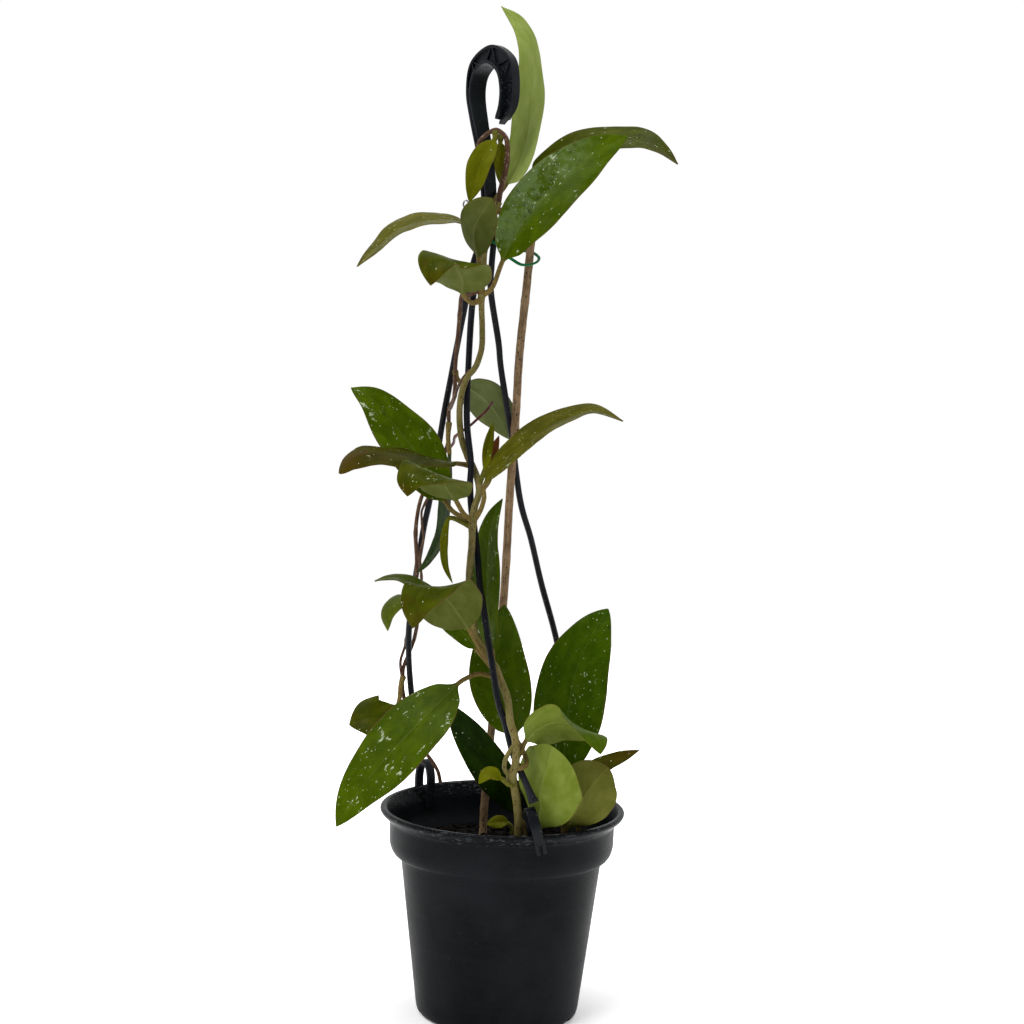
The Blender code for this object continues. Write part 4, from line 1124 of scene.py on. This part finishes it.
# Edges of the hook's band in its own plane, from the hub up and over to the tip: (sideways, height).
HOOK_OUTER = (
    (-4.3, 449), (-5.5, 468), (-9.5, 489), (-15.3, 508), (-19.0, 525), (-15.6, 541), (0, 549.3), (15.2, 542),
    (19.2, 528), (17.6, 514.5), (8.2, 505.5)
)
HOOK_INNER = (
    (2.4, 449), (1.7, 468), (-2.4, 489), (-8.0, 508), (-11.3, 522), (-9.2, 533), (-0.5, 539), (8.2, 534),
    (11.3, 525), (10.9, 516), (8.8, 509.8)
)


def tapered(base: float, tip: float, curve: Array) -> Array:
    """Radius at each point of a curve, changing evenly from base to tip."""
    return np.linspace(base, tip, len(curve))


def bar(low: Triple, high: Triple, place: Matrix) -> Shell:
    """A straight bar of oblong section between two levels of z, moved to its place.

    Args:
        low: Lowest corner.
        high: Highest corner.
        place: Where its own axes go.

    Returns:
        The closed surface.
    """
    (x0, y0, z0), (x1, y1, z1) = low, high
    ring = np.array([(x0, y0), (x1, y0), (x1, y1), (x0, y1)], float)
    grid = np.array([[(x, y, z) for x, y in ring] for z in (z0, z1)])
    grid = moved(grid, place)
    return Shell.from_grid(grid, grid)


def soften(obj: bpy.types.Object, width: float, segments: int = 2) -> None:
    """Rounds a piece's sharp edges.

    Args:
        obj: The piece.
        width: Width of the rounding, in millimetres.
        segments: Steps across it.
    """
    bevel = obj.modifiers.new("Soft edges", "BEVEL")
    bevel.width = width * MM
    bevel.segments = segments
    bevel.limit_method = "ANGLE"
    bevel.angle_limit = radians(38)
    bevel.use_clamp_overlap = True
    obj.data.shade_smooth()
    obj.data.set_sharp_from_angle(angle=radians(50))


# -- sub-assemblies -----------------------------------------------------------------------------------

@dataclass
class Pot:
    """Turned pot with a flared lip, straight collar, tapered body and notches in its foot; and its soil."""

    height: float = 120.0
    lip_radius: float = 70.0
    lip_drop: float = 7.5
    collar_radius: float = 64.3
    collar_drop: float = 18.0
    body_radius: float = 58.3
    body_drop: float = 27.5
    foot_radius: float = 46.8
    foot_chamfer: float = 3.0
    wall: float = 1.6
    floor: float = 2.0
    sides: int = 180
    notches: int = 8
    notch_width: float = 6.0
    notch_height: float = 2.8
    soil_radius: float = 58.0
    soil_shoulder: float = 55.3
    soil_foot: float = 43.9
    soil_level: float = 96.5
    soil_sides: int = 120
    soil_rings: int = 64
    soil_mound: float = 2.5
    chips: int = 520
    finish: PotFinish = PotFinish()
    soil_finish: SoilFinish = SoilFinish("potting mix", (0.0018, 0.0014, 0.0012), (0.012, 0.0085, 0.006))
    chip_finish: SoilFinish = SoilFinish("bark chips", (0.003, 0.0022, 0.0017), (0.018, 0.012, 0.008))

    def profile(self) -> Array:
        """(radius, height) points up the outside from the foot, over the lip and down the inside.

        Returns:
            The points, one row each.
        """
        top, foot, body, collar, lip = (self.height, self.foot_radius, self.body_radius, self.collar_radius,
                                        self.lip_radius)
        chamfer, wall, inner = self.foot_chamfer, self.wall, self.collar_radius - self.wall
        base = [(0, 0), (foot - chamfer, 0), (foot - 0.8, chamfer * 0.5), (foot, chamfer * 1.4)]
        low, share = chamfer * 1.4, np.linspace(0.05, 1, 14)[:, None]
        side = np.hstack([foot + share * (body - 0.6 - foot), low + share * (top - self.body_drop - low)])
        turn = np.linspace(0.15, 1, 8)[:, None] * pi / 2
        shoulder = np.hstack([collar - (collar - body - 1) * (1 - np.sin(turn)),
                              top - self.collar_drop - (self.body_drop - self.collar_drop) * np.cos(turn)])
        rim = [(collar + 0.05, top - 12), (collar + 0.15, top - self.lip_drop - 0.6),
               (collar + 0.7, top - self.lip_drop + 0.5), (lip - 1.1, top - 3.4), (lip - 0.3, top - 2.4),
               (lip, top - 1.5), (lip - 0.3, top - 0.5), (lip - 1.2, top), (lip - 2.8, top),
               (lip - 3.8, top - 0.5), (lip - 4.6, top - 2.0)]
        inside = [(inner, top - 8), (inner, top - self.collar_drop),
                  (body - wall - 0.6, top - self.body_drop - 1), (foot - wall, self.floor + chamfer),
                  (foot - chamfer - wall, self.floor), (0, self.floor)]
        points = np.vstack([base, side, shoulder, rim, inside])
        return np.vstack([points[:2], rounded_corners(points[1:-1])[1:], points[-1:]])

    def build(self) -> None:
        """Makes the pot, the soil and its chips."""
        shell = turned_shell(self.profile()[1:-1], self.sides)
        self.cut_notches(shell.piece("pot_moulded", self.finish, "pot", ("pot",)))
        self.soil().piece("soil_surface", self.soil_finish, "soil", ("soil",))
        self.bark().piece("soil_chips", self.chip_finish, "soil")

    def cut_notches(self, pot: bpy.types.Object) -> None:
        """Cuts the drain notches out of the foot and keeps the result as the pot's own mesh.

        Args:
            pot: The pot's piece.
        """
        bars = [bar((self.foot_radius - 8, -self.notch_width / 2, -self.notch_height),
                    (self.foot_radius + 4, self.notch_width / 2, self.notch_height),
                    Matrix.Rotation(2 * pi * (i + 0.4) / self.notches, 4, "Z")) for i in range(self.notches)]
        cutter = placed("notches", Shell.joined(bars).mesh("notches"))
        cut = pot.modifiers.new("Notches", "BOOLEAN")
        cut.operation = "DIFFERENCE"
        cut.object = cutter
        graph = bpy.context.evaluated_depsgraph_get()
        notched = bpy.data.meshes.new_from_object(pot.evaluated_get(graph), depsgraph=graph)
        pot.modifiers.clear()
        pot.data = notched
        bpy.data.objects.remove(cutter)
        notched.shade_smooth()
        notched.set_sharp_from_angle(angle=radians(42))

    def mound(self, radius: Array | float) -> Array | float:
        """Mean height of the soil: its level plus a mound that rises evenly to the middle."""
        return self.soil_level + self.soil_mound * (1 - radius / self.soil_radius)

    def soil(self) -> Shell:
        """A disc whose height is the level, plus a mound, plus crumbs as sums of seeded waves.

        Returns:
            The soil's surface.
        """
        sides, low = self.soil_sides, self.floor + self.foot_chamfer + 1.0
        rings = np.array([(self.soil_foot, low), (self.soil_shoulder, self.height - self.body_drop - 2.0),
                          (self.soil_radius, self.soil_level - 1.2)])
        under = turned_shell(rings, sides).points[:len(rings) * sides].reshape(len(rings), sides, 3)
        radius = np.linspace(self.soil_radius - 0.6, 0.6, self.soil_rings)[:, None]
        turn = 2 * pi * np.arange(sides) / sides
        x, y = radius * np.cos(turn), radius * np.sin(turn)
        height = self.mound(radius) - 0.6 + 0.9 * ripple(x / 14, y / 14, 5, 6)
        height = height + 0.8 * ripple(x / 5, y / 5, 6, 8) + 0.5 * ripple(x / 2.2, y / 2.2, 7, 9)
        grid = np.concatenate([under, np.stack([x, y, height], axis=-1)])
        return Shell.from_grid(grid, grid)

    def bark(self) -> Shell:
        """Loose bits of bark and twig: stretched six-sided rods, each turned and sunk at random.

        Returns:
            All the bits as one surface.
        """
        dice = np.random.default_rng(21)
        bits = []
        for _ in range(self.chips):
            radius, turn = 55 * np.sqrt(dice.uniform(0.0, 1)), dice.uniform(0, 2 * pi)
            long = dice.choice([dice.uniform(1.5, 4), dice.uniform(4, 9)], p=[0.85, 0.15])
            thick = dice.uniform(0.35, 0.8) if long > 4 else dice.uniform(0.5, 1.3)
            height = self.mound(radius) + dice.uniform(-0.2, 1.0)
            centre = np.array([radius * cos(turn), radius * sin(turn), height])
            lean = unit(np.array([dice.normal(), dice.normal(), dice.normal() * 0.3]))
            half = min(long / 2, max(0.6, 57 - radius))
            sizes = thick * np.array([0.4, 1.0, 0.9, 0.45])
            curve = centre + lean * (half * np.array([-1, -0.55, 0.5, 1]))[:, None]
            bits.append(rod_shell(curve, sizes, (0.13, 0.21, 0.97), 6))
        return Shell.joined(bits)


@dataclass
class Hanger:
    """Trussed plastic hook with its hub, three strands and the clips that grip the rim."""

    x: float = -17.3
    turn: float = radians(45)
    saddle_width: float = 12.0
    back_width: float = 4.8
    web: float = 1.6
    hub_top: float = 450.0
    hub_height: float = 4.0
    hub_radius: float = 6.0
    strand_radius: float = 1.8
    clip_width: float = 5.6
    slot_width: float = 1.8
    steps: int = 7
    finish: PlasticFinish = PlasticFinish("hanger plastic", (0.0035, 0.0042, 0.006),
                                          (0.010, 0.012, 0.015), 0.3, 0.3)
    strand_finish: PlasticFinish = PlasticFinish("strand plastic", (0.0026, 0.0030, 0.0042),
                                                 (0.011, 0.012, 0.017), 0.7, 0.38, 0.00008, (1, 1, 0.4))

    def plane(self) -> Matrix:
        """Place of the hook's own plane."""
        return Matrix.Translation((self.x, 0, 0)) @ Matrix.Rotation(-self.turn, 4, "Z")

    def edges(self, steps: int) -> tuple[Array, Array]:
        """The band's outer and inner edge in the hook's own plane."""
        return tuple(smooth(tuple((s, 0, z) for s, z in edge), steps) for edge in (HOOK_OUTER, HOOK_INNER))

    def grown(self, share: Array | float) -> Array | float:
        """Share of its full width that the band has here: 0.55 at the hub, and soon all of it."""
        return np.minimum(1.0, 0.55 + 1.2 * share)

    def band(self) -> Shell:
        """An I section carried along the band: its web joins a wide saddle flange and a narrower back.

        Returns:
            The band's surface.
        """
        outer, inner = self.edges(self.steps)
        grow = self.grown(np.linspace(0, 1, len(outer))[:, None])
        saddle, back, web = self.saddle_width * grow / 2, self.back_width * grow / 2, self.web / 2 + 0 * grow
        wall = self.web / np.linalg.norm(outer - inner, axis=1)[:, None]
        zero, one = 0 * wall, 1 + 0 * wall
        depth = np.hstack([zero, wall, wall, 1 - wall, 1 - wall, one])
        side = np.hstack([saddle, saddle, web, web, back, back])
        depth, side = np.hstack([depth, depth[:, ::-1]]), np.hstack([-side, side[:, ::-1]])
        grid = inner[:, None] + (outer - inner)[:, None] * depth[..., None]
        grid = grid + side[..., None] * np.array([0.0, 1.0, 0.0])
        return Shell.from_grid(moved(grid, self.plane()), grid)

    def ribs(self) -> Shell:
        """Zigzag bars across the web, from one flange to the other.

        Returns:
            All the bars as one surface.
        """
        outer, inner = self.edges(2)
        last = len(outer) - 1
        bars = []
        for i in range(1, last - 1):
            start, end = (inner[i], outer[i + 1]) if i % 2 else (outer[i], inner[i + 1])
            run = end - start
            width = float(self.back_width * self.grown(i / last)) - 0.8
            place = (self.plane() @ Matrix.Translation((start + end) / 2)
                     @ Matrix.Rotation(float(np.arctan2(run[0], run[2])), 4, "Y"))
            half = float(np.linalg.norm(run)) / 2 - 0.4
            bars.append(bar((-0.45, -width / 2, -half), (0.45, width / 2, half), place))
        return Shell.joined(bars)

    def hub(self) -> Shell:
        """A turned disc with rounded edges under the hook.

        Returns:
            The hub's surface.
        """
        r, top, low = self.hub_radius, self.hub_top, self.hub_top - self.hub_height
        rings = np.array([(r - 1.2, low), (r - 0.3, low + 0.3), (r, low + 1), (r, top - 1),
                          (r - 0.3, top - 0.3), (r - 1.2, top)])
        shell = turned_shell(rings, 48)
        shell.points[:, 0] += self.x
        return shell

    def build(self) -> None:
        """Makes the hook, the strands and the clips."""
        hook = Shell.joined([self.band(), self.ribs(), self.hub()]).piece(
            "hanger_hook_moulded", self.finish, "hanger", ("hanger_hook",))
        soften(hook, 0.22)
        for name, route in STRANDS.items():
            curve = smooth(route, 10)
            runs = run_lengths(curve)
            wobble = 1 + 0.03 * ripple(runs / 22, 0 * runs, len(name))
            foot = 1 + 0.45 * np.exp(-((runs[-1] - runs) / 5) ** 2) + 0.4 * np.exp(-(runs / 4) ** 2)
            rod_shell(curve, self.strand_radius * wobble * foot, (1, 0.2, 0), 20).piece(
                f"{name}_cord", self.strand_finish, "hanger", (name,))
        for name, (angle, lean) in CLIPS.items():
            clip = self.clip(angle, lean).piece(f"{name}_strap", self.finish, "hanger", (name,))
            soften(clip, 0.35, 3)

    def clip(self, angle: float, lean: float) -> Shell:
        """A flat strap bent over the rim: an oblong section along its path, split by a slot at its end.

        Args:
            angle: Degrees round the rim from +X.
            lean: Degrees that it leans along the rim.

        Returns:
            The strap and the two prongs beside its slot, as one surface.
        """
        pivot = Vector(CLIP_PIVOT)
        place = (Matrix.Rotation(radians(angle), 4, "Z") @ Matrix.Translation(pivot)
                 @ Matrix.Rotation(radians(lean), 4, "X") @ Matrix.Translation(-pivot))
        half, slot = self.clip_width / 2, self.slot_width / 2
        straps = [(smooth(CLIP_STRAP, 5), -half, half)]
        straps += [(smooth(CLIP_PRONG, 3), low, high) for low, high in ((-half, -slot), (slot, half))]
        shells = []
        for curve, low, high in straps:
            along = tangents(curve)
            out = np.stack([along[:, 2], 0 * along[:, 0], -along[:, 0]], axis=1)
            corners = [(-1, low), (1, low), (1, high), (-1, high)]
            grid = np.stack([curve + out * rise + np.array([0, side, 0]) for rise, side in corners], axis=1)
            grid = moved(grid, place)
            shells.append(Shell.from_grid(grid, grid))
        return Shell.joined(shells)


@dataclass
class Support:
    """The dry cane that the plant is tied to, the green tie and a bit of wire."""

    cane_radius: float = 2.4
    tie_radius: float = 0.7
    knot_swell: float = 1.0
    knot_run: float = 3.5
    wire_radius: float = 0.5
    cane_finish: StemFinish = StemFinish("dry cane", (0.130, 0.080, 0.040), (0.270, 0.180, 0.100),
                                         (0.014, 0.009, 0.006), 0.7, 0.7, 0.08, 0.0004)
    tie_finish: PlasticFinish = PlasticFinish("green tie", (0.003, 0.115, 0.036), (0.010, 0.190, 0.062),
                                              0.1, 0.3)
    wire_finish: MetalFinish = MetalFinish()

    def build(self) -> None:
        """Makes the cane, the tie and the wire."""
        curve = smooth(CANE, 14)
        runs = run_lengths(curve)[:, None]
        turn = np.linspace(0, 1, 24, endpoint=False)[None]
        uneven = 1 + 0.05 * ripple(runs / 9, turn * 2, 11) + 0.03 * ripple(runs / 2.5, turn * 3, 12)
        rings = 1 + 0.10 * np.exp(-((runs % 74) - 37) ** 2 / 3)
        rod_shell(curve, self.cane_radius * 0.97 * uneven * rings, (1, 0.2, 0), 24).piece(
            "cane_stick", self.cane_finish, "cane", ("cane",))
        tie = smooth(TIE, 12)
        run = run_lengths(tie)[:, None]
        flat = 0.75 + 0.55 * np.cos(2 * pi * np.arange(14) / 14 + run / 9) ** 2
        knot = 1 + self.knot_swell * np.exp(-((run - self.knot_run) / self.knot_run) ** 2)
        rod_shell(tie, self.tie_radius * flat * knot, (0.1, 0.1, 1), 14).piece(
            "twist_tie_ribbon", self.tie_finish, "tie", ("twist_tie",))
        wire = smooth(WIRE, 12)
        rod_shell(wire, self.wire_radius + 0 * wire[:, 0], (0, 1, 0.1), 12).piece(
            "tie_wire_bent", self.wire_finish, "wire", ("tie_wire",))


@dataclass
class Dew:
    """Water drops scattered over one stretch of a leaf's upper side."""

    count: int
    share: tuple[float, float] = (0.1, 0.9)
    side: tuple[float, float] = (-0.85, 0.85)
    largest: float = 0.8
    smallest: float = 0.22

    def shell(self, leaf: Shell, seed: int) -> Shell:
        """Copies one low dome to seeded places, sized and turned by the surface there.

        Args:
            leaf: The surface that they lie on.
            seed: Number of the leaf.

        Returns:
            All the drops, each a closed cap of 40 faces.
        """
        random = np.random.default_rng(100 + seed)
        across, along, upper = np.moveaxis(leaf.blade[leaf.quads], 2, 0)
        inside = ((along > self.share[0]) & (along < self.share[1]) & (upper > 0.99)
                  & (across > self.side[0]) & (across < self.side[1])).all(axis=1)
        corners = leaf.points[leaf.quads[inside]]
        normal = np.cross(corners[:, 2] - corners[:, 0], corners[:, 3] - corners[:, 1])
        area = np.linalg.norm(normal, axis=1)
        pick = random.choice(len(corners), self.count, p=area / area.sum())
        u, v = random.random((2, self.count, 1))
        a, b, c, d = np.moveaxis(corners[pick], 1, 0)
        centre = (1 - u) * ((1 - v) * a + v * d) + u * ((1 - v) * b + v * c)
        up = normal[pick] / area[pick][:, None]
        spread = self.largest - self.smallest
        size = (self.smallest + spread * random.random(self.count) ** 4)[:, None, None]
        first = unit(b - a)
        first = unit(first - up * (first * up).sum(axis=1, keepdims=True))
        axes = np.stack([first, np.cross(up, first), up], axis=1)
        dome = turned_shell(np.array(DROP_RINGS), DROP_SIDES)
        dome.points[-1, 2] = DROP_CROWN
        return dome.repeated(centre[:, None] + size * (dome.points @ axes))


# A drop of unit radius: its rings (radius, height), points on each ring, and the height of its crown.
DROP_RINGS, DROP_SIDES, DROP_CROWN = ((0.9, -0.25), (1.0, 0.0), (0.85, 0.32), (0.5, 0.52)), 8, 0.6
DEW = {
    "leaf_top_right": Dew(520, (0.08, 0.72), (-0.95, 0.1), 0.85),
    "leaf_top_arching": Dew(60, (0.45, 0.95)),
    "leaf_foot_right": Dew(150, (0.2, 0.95)),
    "leaf_foot_broad": Dew(120, (0.1, 0.9)),
    "leaf_middle_flecked": Dew(40, (0.2, 0.9)),
    "leaf_lower_flecked": Dew(70, (0.1, 0.9)),
}


@dataclass
class Plant:
    """Stems, vine and leaves."""

    stem_radius: float = 2.3
    knuckle: float = 1.35
    stem_finish: StemFinish = StemFinish("woody stem", (0.110, 0.098, 0.022), (0.165, 0.130, 0.045),
                                         (0.045, 0.026, 0.010), 0.4, 0.5)
    vine_finish: StemFinish = StemFinish("maroon vine", (0.045, 0.018, 0.010), (0.100, 0.055, 0.028),
                                         (0.20, 0.15, 0.11), 0.25, 0.5)
    tendril_finish: StemFinish = StemFinish("red tendril", (0.055, 0.014, 0.012), (0.10, 0.030, 0.022),
                                            (0.16, 0.07, 0.05), 0.2, 0.4)

    def main_radii(self, curve: Array) -> Array:
        """Radius of the main stem: it thins by a third and swells as a bell at each node.

        Args:
            curve: Points of the stem.

        Returns:
            Radius at each point.
        """
        share = np.linspace(0, 1, len(curve))
        radius = self.stem_radius * (1 - 0.35 * share)
        nearest = np.min(np.abs(curve[:, 2:] - np.array(KNUCKLE_HEIGHTS)), axis=1)
        return radius * (1 + (self.knuckle - 1) * np.exp(-(nearest / 3.6) ** 2))

    def bark(self, curve: Array, radii: Array, sides: int, seed: int, rough: float = 0.05) -> Array:
        """Radii with seeded unevenness along and round the rod.

        Args:
            curve: Points of the rod.
            radii: Its even radius at each point.
            sides: Points round it.
            seed: Chooses the unevenness.
            rough: Height of the unevenness, as a share of the radius.

        Returns:
            Radius at each point and side.
        """
        runs = run_lengths(curve)[:, None]
        turn = np.linspace(0, 1, sides, endpoint=False)[None]
        return radii[:, None] * (1 + rough * ripple(runs / 8, turn * 1.5, seed)
                                 + 0.5 * rough * ripple(runs / 2, turn * 3, seed + 1))

    def rod(self, name: str, nodes: tuple[str, ...], route: Route, radii: tuple[float, float],
            finish: StemFinish, beside: Triple, slot: str, seed: int, sides: int = 14,
            swell: float = 0.22) -> None:
        """Makes one thin stem that swells a little every 46 mm.

        Args:
            name: Name of the piece.
            nodes: Nodes that it stands for.
            route: Its points.
            radii: Radius at its root and tip.
            finish: Its finish.
            beside: Direction that it never takes.
            slot: Its material slot.
            seed: Chooses the unevenness.
            sides: Points round it.
            swell: How much thicker it is at its nodes.
        """
        curve = smooth(route, 10)
        nodal = 1 + swell * np.exp(-((run_lengths(curve) % 46) - 23) ** 2 / 5)
        shape = self.bark(curve, tapered(*radii, curve) * nodal, sides, seed)
        rod_shell(curve, shape, beside, sides).piece(name, finish, slot, nodes)

    def build(self) -> None:
        """Makes the stems and then the leaves."""
        curve, loop = smooth(MAIN_STEM, 12), smooth(KNOT_LOOP, 10)
        trunk = rod_shell(curve, self.bark(curve, self.main_radii(curve), 22, 2), (1, 0.2, 0.1), 22)
        knot = rod_shell(loop, self.bark(loop, tapered(1.3, 1.3, loop), 14, 4), (0, 1, 0), 14)
        Shell.joined([trunk, knot]).piece("main_stem_bark", self.stem_finish, "stem", ("main_stem",))
        maroon, red = self.vine_finish, self.tendril_finish
        self.rod("tip_shoot_bark", ("tip_shoot",), TIP_SHOOT, (1.6, 1.2), maroon, (0, 1, 0), "vine", 9)
        self.rod("vine_bark", ("vine",), VINE, (1.1, 1.2), maroon, (1, 0.2, 0), "vine", 4)
        # One shoot beyond the modelled nodes: it leaves the vine and climbs round the left strand.
        self.rod("vine_second_shoot", (), SECOND_SHOOT, (0.85, 0.65), maroon, (1, 0.2, 0), "vine", 9,
                 12, 0.25)
        self.rod("side_vine_bark", ("side_vine",), SIDE_VINE, (0.9, 0.9), maroon, (0.3, 0.2, 1), "vine", 9)
        self.rod("tendril_skin", ("tendril",), TENDRIL, (0.9, 0.7), red, (1, 0, -0.5), "tendril", 7)
        for seed, leaf in enumerate(LEAVES):
            shell, look = leaf.shell(seed), leaf.look.value
            shell.piece(f"{leaf.name}_blade", look, look.slot, (leaf.name,))
            if leaf.name in DEW:
                DEW[leaf.name].shell(shell, seed).piece(f"{leaf.name}_droplets", DewFinish(), look.slot)


@dataclass
class Studio:
    """Plain pale floor and world, soft overhead light and the camera."""

    eye: Triple = (0.0005, -1.24, 0.418)
    pitch: float = radians(5.9)
    roll: float = radians(1.7)
    lens: float = 77.5
    wall_light: float = 1.0
    front_light: float = 0.22
    wall_end: float = 0.35
    front_start: float = -0.6
    floor_half: float = 1.3
    floor_finish: PaperFinish = PaperFinish()

    def camera(self) -> None:
        """Looks along +Y, pitched down and rolled a little."""
        right, up = Vector((1, 0, 0)), Vector((0, sin(self.pitch), cos(self.pitch)))
        ahead = Vector((0, cos(self.pitch), -sin(self.pitch)))
        x = right * cos(self.roll) + up * sin(self.roll)
        y = -right * sin(self.roll) + up * cos(self.roll)
        data = bpy.data.cameras.new("camera")
        data.lens, data.sensor_width = self.lens, 36
        data.clip_start, data.clip_end = 0.05, 20
        place = Matrix.Translation(self.eye) @ Matrix((x, y, -ahead)).transposed().to_4x4()
        bpy.context.scene.camera = placed("camera", data, place)

    def floor(self) -> None:
        """A wide level sheet under the pot."""
        half = self.floor_half
        mesh = bpy.data.meshes.new("floor")
        mesh.from_pydata([(-half, -half, 0), (half, -half, 0), (half, half, 0), (-half, half, 0)], [],
                         [(0, 1, 2, 3)])
        mesh.materials.append(self.floor_finish.material())
        floor = placed("floor", mesh)

    def lamp(self, name: str, place: Triple, aim: Triple, size: float, power: float) -> None:
        """A square soft light aimed at a point.

        Args:
            name: Its name.
            place: Where it hangs, in metres.
            aim: Where it looks, in metres.
            size: Length of its side, in metres.
            power: In watts.
        """
        data = bpy.data.lights.new(name, "AREA")
        data.size, data.energy = size, power
        turn = (Vector(aim) - Vector(place)).to_track_quat("-Z", "Y").to_matrix().to_4x4()
        placed(name, data, Matrix.Translation(place) @ turn)

    def build(self) -> None:
        """Sets floor, world, lights and camera."""
        self.floor()
        self.room()
        self.lamp("key", (-0.7, -0.9, 1.6), (0, 0, 0.25), 0.8, 20)
        self.lamp("top", (0.2, 0.1, 1.8), (0, 0, 0.3), 0.9, 12)
        self.camera()
        bpy.context.scene.view_settings.view_transform = "Standard"

    def room(self) -> None:
        """A pale room whose brightness falls smoothly from its back wall to the side of the camera."""
        world = bpy.data.worlds.new("pale room")
        world.use_nodes = True
        graph = Graph(world.node_tree)
        depth = graph.parts(graph.node("TexCoord", {}, "Generated"))[1]
        light = depth.ramp(self.wall_end, self.front_start, self.wall_light, self.front_light)
        graph.feed(graph.tree.nodes["Background"], {"Color": (1, 1, 1, 1), "Strength": light})
        bpy.context.scene.world = world


def main() -> None:
    """Builds each sub-assembly in turn, logging its name."""
    logging.basicConfig(level=logging.INFO, format="%(name)s %(message)s")
    for part in (Pot(), Hanger(), Support(), Plant(), Studio()):
        LOG.info("building %s", type(part).__name__)
        part.build()


if __name__ == "__main__":
    main()
